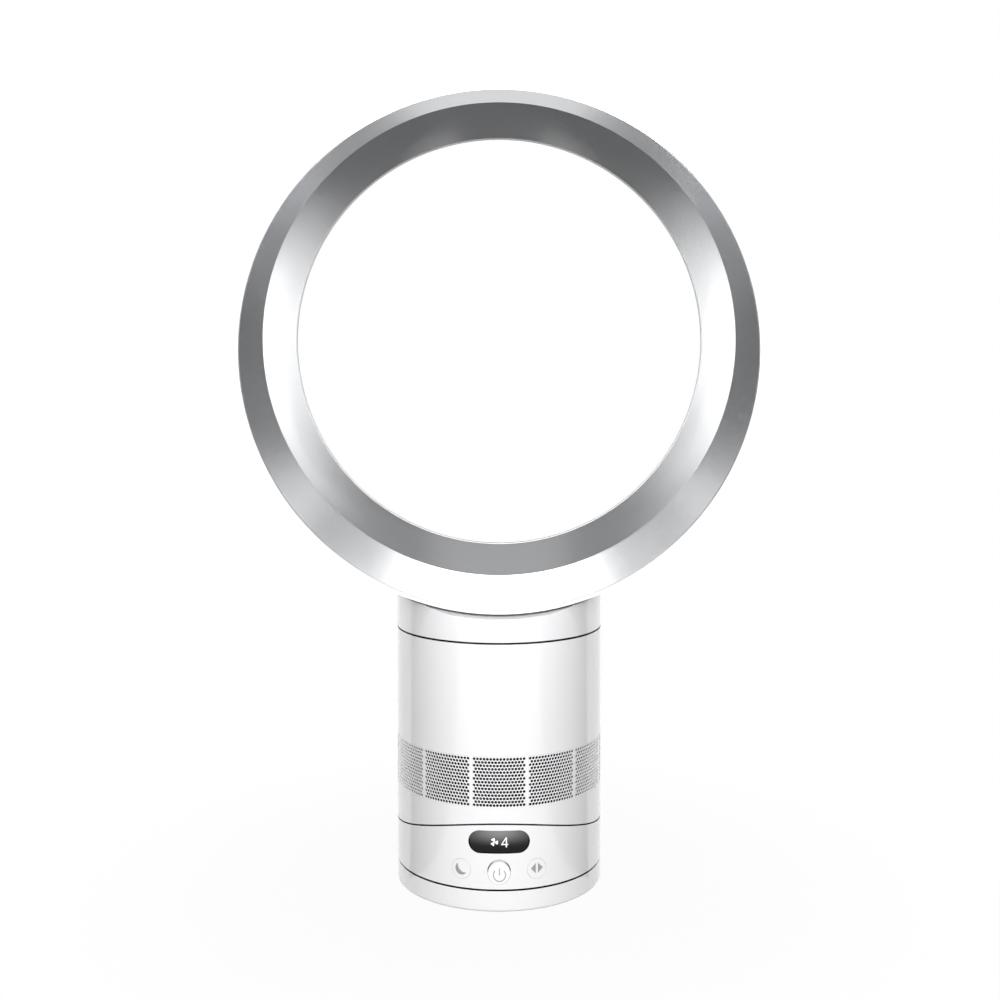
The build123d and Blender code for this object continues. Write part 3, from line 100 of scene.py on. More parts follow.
def math_node(tree, operation, first, *others, clamp=False):
    """Math on numbers and sockets: of one value, or of several taken two at a time."""
    for other in others or (None,):
        node = tree.nodes.new("ShaderNodeMath")
        node.operation = operation
        node.use_clamp = clamp
        fill(tree, node, {0: first} if other is None else {0: first, 1: other})
        first = node.outputs[0]
    return first


def object_coordinates(tree):
    """Object coordinates, and the same split into X, Y and Z."""
    coordinates = tree.nodes.new("ShaderNodeTexCoord").outputs["Object"]
    split = fill(tree, tree.nodes.new("ShaderNodeSeparateXYZ"), {0: coordinates})
    return coordinates, split.outputs["X"], split.outputs["Y"], split.outputs["Z"]


def noise(tree, vector, scale, detail=2.0, roughness=0.5):
    """Noise texture on a vector."""
    node = tree.nodes.new("ShaderNodeTexNoise")
    fill(tree, node, {"Vector": vector, "Scale": scale, "Detail": detail, "Roughness": roughness})
    return node.outputs["Fac"]


def voronoi(tree, scale):
    """Voronoi cells on Object coordinates."""
    node = tree.nodes.new("ShaderNodeTexVoronoi")
    return fill(tree, node, {"Scale": scale, "Vector": object_coordinates(tree)[0]})


def ramp(tree, value, low, high, start=0.0, end=1.0, shape="SMOOTHSTEP"):
    """Step of a value from start at low to end at high, smooth unless the shape is LINEAR."""
    node = tree.nodes.new("ShaderNodeMapRange")
    node.interpolation_type = shape
    fill(tree, node, {"Value": value, "From Min": low, "From Max": high, "To Min": start, "To Max": end})
    return node.outputs["Result"]


def distance_from_axis(tree, first, second):
    """Length of the two coordinates square to an axis."""
    squares = [math_node(tree, "MULTIPLY", side, side) for side in (first, second)]
    return math_node(tree, "SQRT", math_node(tree, "ADD", *squares))


def near(tree, value, level, width=ON_FACE):
    """1 where the value lies within a width of the level, 0 elsewhere."""
    off = math_node(tree, "ABSOLUTE", math_node(tree, "SUBTRACT", value, level))
    return math_node(tree, "LESS_THAN", off, width)


def blend_colours(tree, mask, first, second):
    """Colour that goes from first to second as the mask goes from 0 to 1."""
    mix = tree.nodes.new("ShaderNodeMix")
    mix.data_type = "RGBA"
    fill(tree, mix, {"Factor": mask, "A": first, "B": second})
    return mix.outputs["Result"]


# ---------------------------------------------------------------- effects shared by the finishes


def new_group(name, inputs, outputs):
    """Empty node group of number sockets; inputs gives each one's default, outputs only names."""
    group = bpy.data.node_groups.new(name, "ShaderNodeTree")
    for label, default in inputs.items():
        socket = group.interface.new_socket(name=label, in_out="INPUT", socket_type="NodeSocketFloat")
        socket.default_value = default
    for label in outputs:
        group.interface.new_socket(name=label, in_out="OUTPUT", socket_type="NodeSocketFloat")
    given = group.nodes.new("NodeGroupInput").outputs
    return group, given, group.nodes.new("NodeGroupOutput")


def make_moulded_skin():
    """Faint ripple of a moulded surface, and a slow drift of its gloss from low to high."""
    group, given, result = new_group(
        "moulded_skin", {"Ripple": 900.0, "Low": 0.2, "High": 0.3}, ("Height", "Roughness"))
    coordinates = object_coordinates(group)[0]
    ripple = noise(group, coordinates, given["Ripple"], 3.0)
    drift = noise(group, coordinates, 18.0, 1.0)
    gloss = ramp(group, drift, 0.1, 0.9, given["Low"], given["High"], "LINEAR")
    fill(group, result, {"Height": ripple, "Roughness": gloss})
    return group


def make_painted_shade_faces():
    """Painted shade: 1 on the faces that the eye only reaches through a joint or a hole, 0 on the outside.

    These are the wall's inner side within a radius, the level faces of the foot's seam and the neck's
    with a thin band of the white on either side, the round face of the tilt seam, and the upright front of the
    neck's bridge under the ring. All are painted dark as shade. The defaults leave out all but the level seams.
    """
    group, given, result = new_group(
        "painted_shade_faces", {"Radius": 0.0, "Seam Radius": FAR_OFF, "Bridge": FAR_OFF}, ("Mask",))
    x, y, z = object_coordinates(group)[1:]
    from_axis = distance_from_axis(group, x, y)
    from_tilt = distance_from_axis(group, y, math_node(group, "SUBTRACT", z, TILT_Z))
    under_skin = math_node(group, "LESS_THAN", from_axis, BASE_R - UNDER_SKIN)
    bridge = math_node(group, "MULTIPLY", near(group, y, given["Bridge"]), under_skin)
    tilt_seam = near(group, from_tilt, given["Seam Radius"])
    level_seams = [near(group, z, level, SEAM_SHADE_REACH) for level in SEAM_LEVELS]
    inside = math_node(group, "LESS_THAN", from_axis, given["Radius"])
    fill(group, result, {"Mask": math_node(group, "MAXIMUM", bridge, tilt_seam, *level_seams, inside)})
    return group


def make_turned_marks():
    """Fine rings about Z, as a tool or a die leaves them."""
    group, given, result = new_group("turned_marks", {"Spacing": 2500.0}, ("Height",))
    coordinates, x, y, z = object_coordinates(group)
    rings = math_node(group, "ADD", distance_from_axis(group, x, y), z)
    wave = math_node(group, "SINE", math_node(group, "MULTIPLY", rings, given["Spacing"]))
    rough = noise(group, coordinates, 1500.0, 3.0)
    fill(group, result, {"Height": math_node(group, "ADD", wave, rough)})
    return group


MOULDED_SKIN = make_moulded_skin()
PAINTED_SHADE_FACES = make_painted_shade_faces()
TURNED_MARKS = make_turned_marks()


# ---------------------------------------------------------------- finishes

WHITE = (0.80, 0.80, 0.81)
# colour of the painted shade in joints, holes, recesses, along the foot's edge and under the ring's rim
PAINTED_SHADE_DARK = (0.015, 0.015, 0.016)
RIPPLE_DEPTH = 0.2 * MM
PLASTIC_RIPPLE = 900.0
PLASTIC_IOR = 1.5
COAT_ROUGHNESS = 0.06


def new_material(name):
    """Material with an empty node tree."""
    material = bpy.data.materials.new(name)
    material.use_nodes = True
    material.node_tree.nodes.clear()
    return material, material.node_tree


def end_tree(tree, surface, output="ShaderNodeOutputMaterial"):
    """Output node for the shader that the tree makes."""
    fill(tree, tree.nodes.new(output), {"Surface": surface})


def new_finish(name):
    """Material with a Principled shader; gives the material, its tree and the shader."""
    material, tree = new_material(name)
    shader = tree.nodes.new("ShaderNodeBsdfPrincipled")
    end_tree(tree, shader.outputs["BSDF"])
    return material, tree, shader


def use_group(tree, group, values):
    """Places a shared effect with its own values; gives its outputs."""
    node = tree.nodes.new("ShaderNodeGroup")
    node.node_tree = group
    return fill(tree, node, values).outputs


def bump(tree, shader, height, strength, distance=RIPPLE_DEPTH):
    """Feeds a height through a Bump node to the shader's normal."""
    node = tree.nodes.new("ShaderNodeBump")
    fill(tree, node, {"Strength": strength, "Distance": distance, "Height": height})
    fill(tree, shader, {"Normal": node.outputs["Normal"]})


def moulded(tree, shader, ripple, low, high):
    """Gives the shader a gloss that drifts from low to high; returns the height of the ripple."""
    skin = use_group(tree, MOULDED_SKIN, {"Ripple": ripple, "Low": low, "High": high})
    fill(tree, shader, {"Roughness": skin["Roughness"]})
    return skin["Height"]


def speckled(tree, colour, amount, scale=180.0):
    """The colour with a slow mottle that darkens it by up to the amount."""
    mottle = noise(tree, object_coordinates(tree)[0], scale, 4.0, 0.6)
    darker = tuple(channel * (1.0 - amount) for channel in colour)
    return blend_colours(tree, mottle, darker, colour)


def plastic(name, colour, roughness, depth=0.02, coat=0.0, shade_faces=None, shade=None):
    """Moulded plastic, with a thin gloss over it where it has a coat.

    Values given for the faces seen only through a joint or a hole paint those faces dark, as painted shade.
    Shade is a function that gives the mask of a soft place of painted shade, such as a recess.
    """
    material, tree, shader = new_finish(name)
    height = moulded(tree, shader, PLASTIC_RIPPLE, roughness * 0.85, roughness * 1.2)
    bump(tree, shader, height, depth)
    outer = speckled(tree, colour, 0.02)
    # painted shade on the faces seen only through joints and holes
    if shade_faces is not None:
        faces = use_group(tree, PAINTED_SHADE_FACES, shade_faces)
        outer = blend_colours(tree, faces["Mask"], outer, PAINTED_SHADE_DARK)
    if shade is not None:
        outer = blend_colours(tree, shade(tree), outer, PAINTED_SHADE_DARK)
    fill(tree, shader, {"Base Color": outer, "IOR": PLASTIC_IOR})
    if coat:
        fill(tree, shader, {"Coat Weight": coat, "Coat Roughness": COAT_ROUGHNESS})
    return material


def white_shell(name, shade_faces=None, shade=None, roughness=0.16):
    """The fan's glossy white."""
    return plastic(name, WHITE, roughness, coat=0.5, shade_faces=shade_faces, shade=shade)


def inner_plastic(name, colour, roughness=0.5, depth=0.1):
    """Plain moulding inside, with no coat."""
    return plastic(name, colour, roughness, depth)


def silver_lacquer():
    """Fine metallic lacquer: bright flakes under a clear coat."""
    material, tree, shader = new_finish("silver_lacquer")
    flakes = voronoi(tree, 4500.0).outputs["Color"]
    sparkle = blend_colours(tree, flakes, (0.69, 0.70, 0.715), (0.725, 0.735, 0.75))
    bump(tree, shader, moulded(tree, shader, 120.0, 0.20, 0.25), 0.01)
    fill(tree, shader, {"Base Color": sparkle, "Metallic": 0.9, "Coat Weight": 0.3, "Coat Roughness": 0.10})
    return material


# ranges of the window's shading, whose pale part is a painted reflection:
# heights and sides are from its middle, reaches from its edge
REFLECTION_HEIGHT = (-3.5 * MM, 7.0 * MM)
REFLECTION_SIDE = (0.0, 26.0 * MM, 1.0, 0.2)
EDGE_HEIGHT = (0.0, 3.0 * MM, 1.0, 0.0)
EDGE_REACH = (0.95 * MM, 1.35 * MM, 1.0, 0.0)
LINE_HEIGHT = (-4.0 * MM, -2.0 * MM, 0.6, 0.0)
LINE_REACH = (2.5 * MM, 0.28 * MM)          # of the line's middle, and half its width
SMOKE_DARK = (0.010, 0.010, 0.010)
# grey of the painted reflection
REFLECTION_GREY = (0.235, 0.235, 0.232)
SMOKE_EDGE = (0.002, 0.002, 0.002)


def window_black():
    """Smoked window: a painted reflection makes it paler in the middle of its upper half; black round its ends and
    its lower edge.

    The distance from the edge is that inside a bar with round ends: its half height less the distance
    from the bar's middle line. A fine dark line runs inside the lower edge.
    """
    material, tree, shader = new_finish("window_black")
    x, z = object_coordinates(tree)[1::2]
    half_height = (window_high.z - window_low.z) / 2
    half_length = (window_high.x - window_low.x) / 2 - half_height
    side = math_node(tree, "ABSOLUTE", x)
    past_end = math_node(tree, "MAXIMUM", math_node(tree, "SUBTRACT", side, half_length), 0.0)
    up = math_node(tree, "SUBTRACT", z, WINDOW_MIDDLE)
    from_edge = math_node(tree, "SUBTRACT", half_height, distance_from_axis(tree, past_end, up))
    # painted reflection: paler towards the top and the middle
    painted_reflection = math_node(tree, "MULTIPLY", ramp(tree, up, *REFLECTION_HEIGHT), ramp(tree, side, *REFLECTION_SIDE))
    edge = math_node(tree, "MULTIPLY", ramp(tree, from_edge, *EDGE_REACH), ramp(tree, up, *EDGE_HEIGHT))
    line = math_node(tree, "MULTIPLY", near(tree, from_edge, *LINE_REACH), ramp(tree, up, *LINE_HEIGHT))
    field = blend_colours(tree, painted_reflection, SMOKE_DARK, REFLECTION_GREY)
    glass = blend_colours(tree, math_node(tree, "MAXIMUM", edge, line), field, SMOKE_EDGE)
    bump(tree, shader, moulded(tree, shader, 400.0, 0.10, 0.16), 0.01)
    fill(tree, shader, {"Base Color": glass, "Specular IOR Level": 0.15})
    return material


def printed(name, colour, glow=0.0):
    """Screen print with a slightly uneven film; glow lights it from behind."""
    material, tree, shader = new_finish(name)
    moulded(tree, shader, 1500.0, 0.35, 0.5)
    fill(tree, shader, {"Base Color": speckled(tree, colour, 0.08, 900.0)})
    if glow:
        fill(tree, shader, {"Emission Color": colour, "Emission Strength": glow})
    return material


def metal(name, colour, roughness, spacing=2500.0):
    """Turned or drawn metal with fine marks about its axis."""
    material, tree, shader = new_finish(name)
    moulded(tree, shader, 1200.0, roughness * 0.8, roughness * 1.25)
    bump(tree, shader, use_group(tree, TURNED_MARKS, {"Spacing": spacing})["Height"], 0.05, 0.1 * MM)
    fill(tree, shader, {"Base Color": speckled(tree, colour, 0.12, 400.0), "Metallic": 1.0})
    return material


def rubber(name, colour):
    """Matt rubber with a fine grain."""
    material, tree, shader = new_finish(name)
    bump(tree, shader, moulded(tree, shader, 2600.0, 0.65, 0.85), 0.25)
    fill(tree, shader, {"Base Color": speckled(tree, colour, 0.25, 260.0), "Specular IOR Level": 0.3})
    return material


def foam(name, colour):
    """Open-cell foam: round pits between dark ribs."""
    material, tree, shader = new_finish(name)
    cells = voronoi(tree, 900.0).outputs["Distance"]
    dark = tuple(channel * 0.3 for channel in colour)
    bump(tree, shader, cells, 0.8, 0.6 * MM)
    fill(tree, shader, {"Base Color": blend_colours(tree, cells, dark, colour), "Roughness": 0.95})
    return material


def circuit_board(name):
    """Green lacquer over glass cloth, with paler copper tracks."""
    material, tree, shader = new_finish(name)
    coordinates = object_coordinates(tree)[0]
    tracks = fill(tree, tree.nodes.new("ShaderNodeTexBrick"), {
        "Vector": coordinates, "Scale": 90.0, "Mortar Size": 0.03, "Mortar": (0.020, 0.085, 0.040),
        "Color1": (0.006, 0.040, 0.018), "Color2": (0.008, 0.052, 0.024)})
    bump(tree, shader, noise(tree, coordinates, 2200.0), 0.1, 0.1 * MM)
    fill(tree, shader, {"Base Color": tracks.outputs["Color"], "Roughness": 0.35})
    return material


def banded(name, first, second, spacing, metallic, roughness):
    """Layers square to Z, as of wound wire or stacked sheet."""
    material, tree, shader = new_finish(name)
    z = object_coordinates(tree)[3]
    wave = math_node(tree, "SINE", math_node(tree, "MULTIPLY", z, 2 * math.pi / spacing))
    layer = math_node(tree, "ADD", math_node(tree, "MULTIPLY", wave, 0.5), 0.5)
    bump(tree, shader, layer, 0.6, spacing * 0.3)
    colour = blend_colours(tree, layer, first, second)
    fill(tree, shader, {"Base Color": colour, "Metallic": metallic, "Roughness": roughness})
    return material


# ---------------------------------------------------------------- soft shade on the white shells

# each range goes to ramp: from, to, and the shade at either end where that isn't 0 and 1
BOTTOM_EDGE = (0.4 * MM, 2.2 * MM, 0.8, 0.0)
RECESS_DEPTH = 0.10 * MM                    # a point deeper than this is in the recess
RECESS_SIDE = (9.0 * MM, 10.0 * MM, 1.0, 0.0)
RECESS_START = (27.0 * MM, 30.0 * MM)
RECESS_END = (37.0 * MM, 38.0 * MM, 1.0, 0.0)
RECESS_CROWN = (2.5 * MM, 6.5 * MM, 0.0, 0.95)
RIM_SLOPE = 0.18                            # of the line under the rim, against the depth behind it
RIM_START = RING_R + 0.2 * MM               # the line's distance from the ring's axis at the rim
RIM_LINE = (0.35 * MM, 1.0 * MM, 1.0, 0.0)
RIM_FADE = (4.0 * MM, 34.0 * MM, 0.85, 0.0)
RIM_MARGIN = 0.1 * MM                       # no line further forward of the bridge than this
NECK_MARGIN = 0.3 * MM                      # no line further out than this from the neck's wall


def bottom_edge_shade(tree):
    """Grey line along the foot's bottom edge."""
    return ramp(tree, object_coordinates(tree)[3], *BOTTOM_EDGE)


def recess_shade(tree):
    """Shade in the flare over the power button: none at the top, deepest at its two ends."""
    x, y, z = object_coordinates(tree)[1:]
    side = math_node(tree, "ABSOLUTE", x)
    sunk = math_node(tree, "LESS_THAN", distance_from_axis(tree, x, y), BASE_R - RECESS_DEPTH)
    front = math_node(tree, "LESS_THAN", y, 0.0)
    return math_node(
        tree, "MULTIPLY", ramp(tree, side, *RECESS_SIDE), front, ramp(tree, z, *RECESS_START),
        ramp(tree, z, *RECESS_END), ramp(tree, side, *RECESS_CROWN), sunk)


def rim_shade(tree):
    """Thin grey line on the neck's sides, close under the ring's rim, that fades towards the back.

    Its distance from the ring's axis grows with the depth behind the rim, as the shade of the rim does.
    """
    x, y, z = object_coordinates(tree)[1:]
    from_ring = distance_from_axis(tree, x, math_node(tree, "SUBTRACT", z, RING_AXIS_Z))
    behind = math_node(tree, "SUBTRACT", y, RING_FRONT_Y)
    level = math_node(tree, "ADD", math_node(tree, "MULTIPLY", behind, RIM_SLOPE), RIM_START)
    off = math_node(tree, "ABSOLUTE", math_node(tree, "SUBTRACT", from_ring, level))
    not_front = math_node(tree, "GREATER_THAN", y, BRIDGE_FRONT - RIM_MARGIN)
    below_ring = math_node(tree, "LESS_THAN", z, NECK_TOP)
    on_neck = math_node(tree, "LESS_THAN", distance_from_axis(tree, x, y), BASE_R + NECK_MARGIN)
    return math_node(tree, "MULTIPLY", ramp(tree, off, *RIM_LINE), ramp(tree, behind, *RIM_FADE),
                     not_front, below_ring, on_neck)


# ---------------------------------------------------------------- finishes of the nodes

WALL_INSIDE = INSIDE_R + 0.3 * MM           # painted shade within this radius
# painted shade on the panels' back and the deeper part of their hole walls
PANEL_WHITE = white_shell("panel_white", {"Radius": BASE_R - 0.5 * MM})
PRINT_GREY = printed("print_grey", (0.31, 0.31, 0.32))
PRINT_WHITE = printed("print_white", (0.95, 0.95, 0.95), glow=0.25)
INNER_BLACK = inner_plastic("inner_black", (0.02, 0.02, 0.02))

SLOT_FINISHES = {
    "white_shell": white_shell("body_white"),
    "silver_ring": silver_lacquer(),
    "grille_white": PANEL_WHITE,
    "button_white": white_shell("key_white", roughness=0.18),
    "display_black": window_black(),
    "inner_grey": inner_plastic("inner_grey", (0.10, 0.10, 0.11), 0.55),
    "inner_white": inner_plastic("inner_white", (0.70, 0.70, 0.69)),
    "inner_black": INNER_BLACK,
    "gear_nylon": inner_plastic("gear_nylon", (0.62, 0.60, 0.52), 0.42, 0.05),
    "board_green": circuit_board("board_green"),
    "foam_grey": foam("foam_grey", (0.06, 0.06, 0.065)),
    "rubber_black": rubber("rubber_black", (0.02, 0.02, 0.02)),
    "rubber_grey": rubber("rubber_grey", (0.10, 0.10, 0.10)),
    "screw_steel": metal("screw_steel", (0.50, 0.50, 0.51), 0.35),
    "shaft_steel": metal("shaft_steel", (0.60, 0.60, 0.61), 0.22, 4000.0),
    "core_steel": banded("core_steel", (0.10, 0.10, 0.11), (0.32, 0.32, 0.34), 0.5 * MM, 1.0, 0.45),
    "motor_steel": metal("motor_steel", (0.55, 0.55, 0.56), 0.38, 1200.0),
    "winding_copper": banded("copper_wire", (0.24, 0.08, 0.03), (0.60, 0.26, 0.12), 0.6 * MM, 1.0, 0.35),
    "sink_aluminium": metal("sink_aluminium", (0.035, 0.035, 0.04), 0.5, 900.0),
    "magnet_grey": rubber("magnet_grey", (0.07, 0.07, 0.075)),
}

# nodes whose finish differs from their slot's: a face of theirs is seen only in a seam or through a hole,
# and is painted dark there as shade
NODE_FINISHES = {
    "foot_shell": white_shell("foot_white", {}, bottom_edge_shade),
    "turret_shell": white_shell(
        "turret_white", {"Radius": WALL_INSIDE, "Seam Radius": CRADLE_R}, recess_shade),
    "tower_shell": white_shell("tower_white", {"Radius": WALL_INSIDE, "Seam Radius": SADDLE_R}),
    "outer_casing": white_shell("casing_white", {"Bridge": BRIDGE_FRONT}, rim_shade),
    "turret_floor": INNER_BLACK,
    "glide_ring": INNER_BLACK,
    "saddle": INNER_BLACK,
    "lock_ring": INNER_BLACK,
    "ring_collar": INNER_BLACK,
    # the choke's copper wire is painted near black, as shade behind the inlet holes
    "choke": banded("choke_wire_shaded", (0.010, 0.005, 0.003), (0.05, 0.022, 0.012), 0.6 * MM, 0.2, 0.45),
}


def dress_nodes():
    """Gives each CAD node the finish of its material slot, or its own."""
    slots = {entry["node"]: entry["material_slot"] for entry in frame["record"]["subparts"]}
    for name, node in frame["nodes"].items():
        finish = NODE_FINISHES.get(name, SLOT_FINISHES[slots[name]])
        node.data.materials.clear()
        node.data.materials.append(finish)


dress_nodes()


# ---------------------------------------------------------------- new pieces: shapes

SHARP_EDGE = math.radians(35.0)
SAME_POINT = 0.001 * MM


def add_piece(name, points, faces, finish, body, slot):
    """Mesh object from arrays of points and faces, riding on a body."""
    mesh = bpy.data.meshes.new(name)
    mesh.from_pydata(points.tolist(), [], faces.tolist())
    mesh.shade_smooth()
    mesh.set_sharp_from_angle(angle=SHARP_EDGE)
    mesh.materials.append(finish)
    piece = bpy.data.objects.new(name, mesh)
    bpy.context.scene.collection.objects.link(piece)
    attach(piece, body)
    return piece


def merged(points, faces):
    """Joins points that fall on the same step of SAME_POINT, and numbers the faces anew."""
    keys = np.round(points / SAME_POINT).astype(np.int64)
    _, first, inverse = np.unique(keys, axis=0, return_index=True, return_inverse=True)
    return points[first], inverse.reshape(-1)[faces]


def sheet_faces(start, columns, rows):
    """Quads of a grid of points numbered row by row from start."""
    number = start + np.arange(columns * rows).reshape(rows, columns)
    return np.stack([number[:-1, :-1], number[:-1, 1:], number[1:, 1:], number[1:, :-1]], -1).reshape(-1, 4)


def rays(angles):
    """Unit vectors at angles in radians."""
    return np.stack([np.cos(angles), np.sin(angles)], 1)


# ---------------------------------------------------------------- inlet panels

PANELS = 12
HOLE_ROWS = 15
HOLE_COLUMNS = 16
HOLE_R = 0.97 * MM
ROW_PITCH = 2.207 * MM
COLUMN_ANGLE = math.radians(1.775)
SIDE_STEPS = 4                              # steps along each side of the square cell round a hole


def cell_outline():
    """Points round a unit square cell, and the same count on a unit circle, in step with each other.

    The square runs from corner to corner in SIDE_STEPS steps a side; each circle point lies on the
    line from the cell's middle through its square point.
    """
    step = np.arange(SIDE_STEPS) / SIDE_STEPS - 0.5
    low, high = np.full(SIDE_STEPS, -0.5), np.full(SIDE_STEPS, 0.5)
    sides = ((step, low), (high, step), (-step, high), (low, -step))
    square = np.concatenate([np.stack(side, 1) for side in sides])
    circle = square / np.linalg.norm(square, axis=1, keepdims=True)
    return square, circle


def band_faces(first, second):
    """Quads between two closed loops of point numbers, for any number of loops at once."""
    return np.stack([first, np.roll(first, -1, 1), np.roll(second, -1, 1), second], -1).reshape(-1, 4)


def at_depth(flat, depth):
    """Flat points (turn, height) with a depth added to each."""
    flat = flat.reshape(-1, 2)
    return np.concatenate([flat, np.full((len(flat), 1), depth)], 1)


def panel_mesh():
    """One pierced panel on flat coordinates: turn along the wall, height, and depth behind its face.

    Each hole is a square cell with a round hole in it, front and back, and a wall between the two.
    Rows of 16 and 15 cells alternate, so the short rows have half a cell of plain sheet at each end.
    Plain strips fill the face and the back above and below the holes.
    """
    square, circle = cell_outline()
    row = np.repeat(np.arange(HOLE_ROWS), HOLE_COLUMNS)
    column = np.tile(np.arange(HOLE_COLUMNS), HOLE_ROWS)
    keep = column < HOLE_COLUMNS - row % 2
    row, column = row[keep], column[keep]
    middle_height = (grille_low.z + grille_high.z) / 2
    turn = (column - (HOLE_COLUMNS - 1 - row % 2) / 2) * COLUMN_ANGLE
    height = middle_height + (row - (HOLE_ROWS - 1) / 2) * ROW_PITCH

    centre = np.stack([turn, height], 1)[:, None]
    edge = centre + square * np.array([COLUMN_ANGLE, ROW_PITCH])
    rim = centre + circle * np.array([HOLE_R / BASE_R, HOLE_R])
    points = [at_depth(flat, depth) for flat, depth in ((edge, 0.0), (rim, 0.0), (rim, WALL), (edge, WALL))]
    number = np.arange(4 * edge.shape[0] * edge.shape[1]).reshape(4, *edge.shape[:2])
    faces = [band_faces(outer, inner) for outer, inner in zip(number, number[1:])]

    half_width = HOLE_COLUMNS / 2 * COLUMN_ANGLE
    low_edge = middle_height - HOLE_ROWS / 2 * ROW_PITCH
    high_edge = middle_height + HOLE_ROWS / 2 * ROW_PITCH
    across = np.linspace(-half_width, half_width, HOLE_COLUMNS * SIDE_STEPS + 1)
    half_cell = np.arange(SIDE_STEPS // 2 + 1) / SIDE_STEPS * COLUMN_ANGLE
    used = number.size

    def add_sheet(turns, heights, depth, flip):
        nonlocal used
        grid = at_depth(np.stack(np.meshgrid(turns, heights), -1), depth)
        quads = sheet_faces(used, len(turns), len(heights))
        points.append(grid)
        faces.append(quads[:, ::-1] if flip else quads)
        used += len(grid)

    for depth, flip in ((0.0, False), (WALL, True)):
        add_sheet(across, np.array([grille_low.z, low_edge]), depth, flip)
        add_sheet(across, np.array([high_edge, grille_high.z]), depth, flip)
        for odd in range(1, HOLE_ROWS, 2):
            heights = low_edge + (odd + np.arange(SIDE_STEPS + 1) / SIDE_STEPS) * ROW_PITCH
            add_sheet(-half_width + half_cell, heights, depth, flip)
            add_sheet(half_width - half_cell[::-1], heights, depth, flip)
    return np.concatenate(points), np.concatenate(faces)


def inlet_panels():
    """Twelve panels: the flat panel bent round the base's radius and turned to its place."""
    flat, faces = panel_mesh()
    radius = BASE_R - flat[:, 2]
    panels = []
    for panel in range(PANELS):
        turn = flat[:, 0] + 2 * math.pi * panel / PANELS
        points = np.stack([radius * np.sin(turn), -radius * np.cos(turn), flat[:, 1]], 1)
        name = f"inlet_panel_{panel + 1:02d}"
        panels.append(add_piece(name, *merged(points, faces), PANEL_WHITE, "tower", "grille_white"))
    return panels


for inlet_panel in inlet_panels():
    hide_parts("inlet_grille")


# ---------------------------------------------------------------- printed marks

LIFT = 0.04 * MM                            # of a print above the surface under it
POWER_LEAN = math.radians(7.0)
BUTTON_PIVOT_Z = 19.6 * MM
POWER_MIDDLE = 27.0 * MM
SIDE_ANGLE = math.radians(20.4)             # of the side buttons, from the front
SIDE_MIDDLE = (sleep_low.z + sleep_high.z) / 2

SIGN_PLACE = (-3.2 * MM, 0.15 * MM)         # of the fan sign, from the window's middle
SIGN_R = 2.7 * MM
SIGN_TURN = -18.0
NUMBER_STROKES = (                          # start, end and width in mm, from the window's middle
    ((1.8, -1.35), (4.65, 3.0), 0.6),
    ((1.45, -1.45), (6.05, -1.45), 0.7),
    ((4.85, -3.3), (4.85, 3.3), 0.8),
)

BLADE_ROOT = 0.02                           # share of the radius where a blade of the sign starts
BLADE_SWING = 0.24
BLADE_HALF = 0.66
BLADE_NARROWING = 0.07
BLADE_ROUNDING = 0.55
ROUNDED_FROM = 0.75

POWER_SIGN_PLACE = (0.25 * MM, -1.3 * MM)   # from the button's middle
POWER_SIGN_R = 4.05 * MM
POWER_SIGN_LINE = 0.75 * MM
POWER_SIGN_GAP = (137, 403)                 # degrees where the open ring starts and ends
POWER_BAR = (-0.2 * MM, 4.4 * MM)

MOON_LIFT = 0.2 * MM
MOON_R = 4.3 * MM
MOON_BITE = (2.85 * MM, 2.75 * MM)
MOON_BITE_R = 5.4 * MM

ARROW_LIFT = 0.4 * MM
ARROW_BASE = 0.75 * MM
ARROW_TIP = 4.3 * MM
ARROW_HALF = 3.5 * MM


def on_wall(flat, facing, lean=0.0, pivot=0.0):
    """Flat (across, up) coordinates laid on the base's round wall.

    The wall is a cylinder of radius BASE_R about the Z axis; across runs along it from the direction
    facing, in radians from the front. With a lean, the cylinder is turned inwards by that angle about
    its front line at the height pivot, and up is measured along it.
    """
    radius = BASE_R + LIFT
    turn = flat[:, 0] / BASE_R
    x = radius * np.sin(turn)
    y = BASE_R - radius * np.cos(turn)
    up = flat[:, 1] - pivot
    leaned_y = y * math.cos(lean) + up * math.sin(lean) - BASE_R
    leaned_z = pivot - y * math.sin(lean) + up * math.cos(lean)
    return np.stack([
        x * math.cos(facing) - leaned_y * math.sin(facing),
        x * math.sin(facing) + leaned_y * math.cos(facing),
        leaned_z], 1)


def strip(left, right, steps_across=2):
    """Grid of points between two lines of (across, up) points, with its faces."""
    share = np.linspace(0, 1, steps_across + 1)[:, None, None]
    points = (left * (1 - share) + right * share).reshape(-1, 2)
    return points, sheet_faces(0, len(left), steps_across + 1)


def arc_stroke(centre, radius, width, start, end, steps=48):
    """Band of a circle between two angles in degrees, from radius minus to radius plus half a width."""
    ray = rays(np.radians(np.linspace(start, end, steps + 1)))
    return strip(centre + ray * (radius - width / 2), centre + ray * (radius + width / 2))


def line_stroke(start, end, width, steps=6):
    """Straight band between two points."""
    side = np.array([start[1] - end[1], end[0] - start[0]])
    side *= width / 2 / np.linalg.norm(side)
    along = np.linspace(start, end, steps + 1)
    return strip(along + side, along - side)


def triangle(tip, low, high, steps=6):
    """Triangle as a strip that narrows from its base to its tip."""
    return strip(np.linspace(low, tip, steps + 1), np.linspace(high, tip, steps + 1))


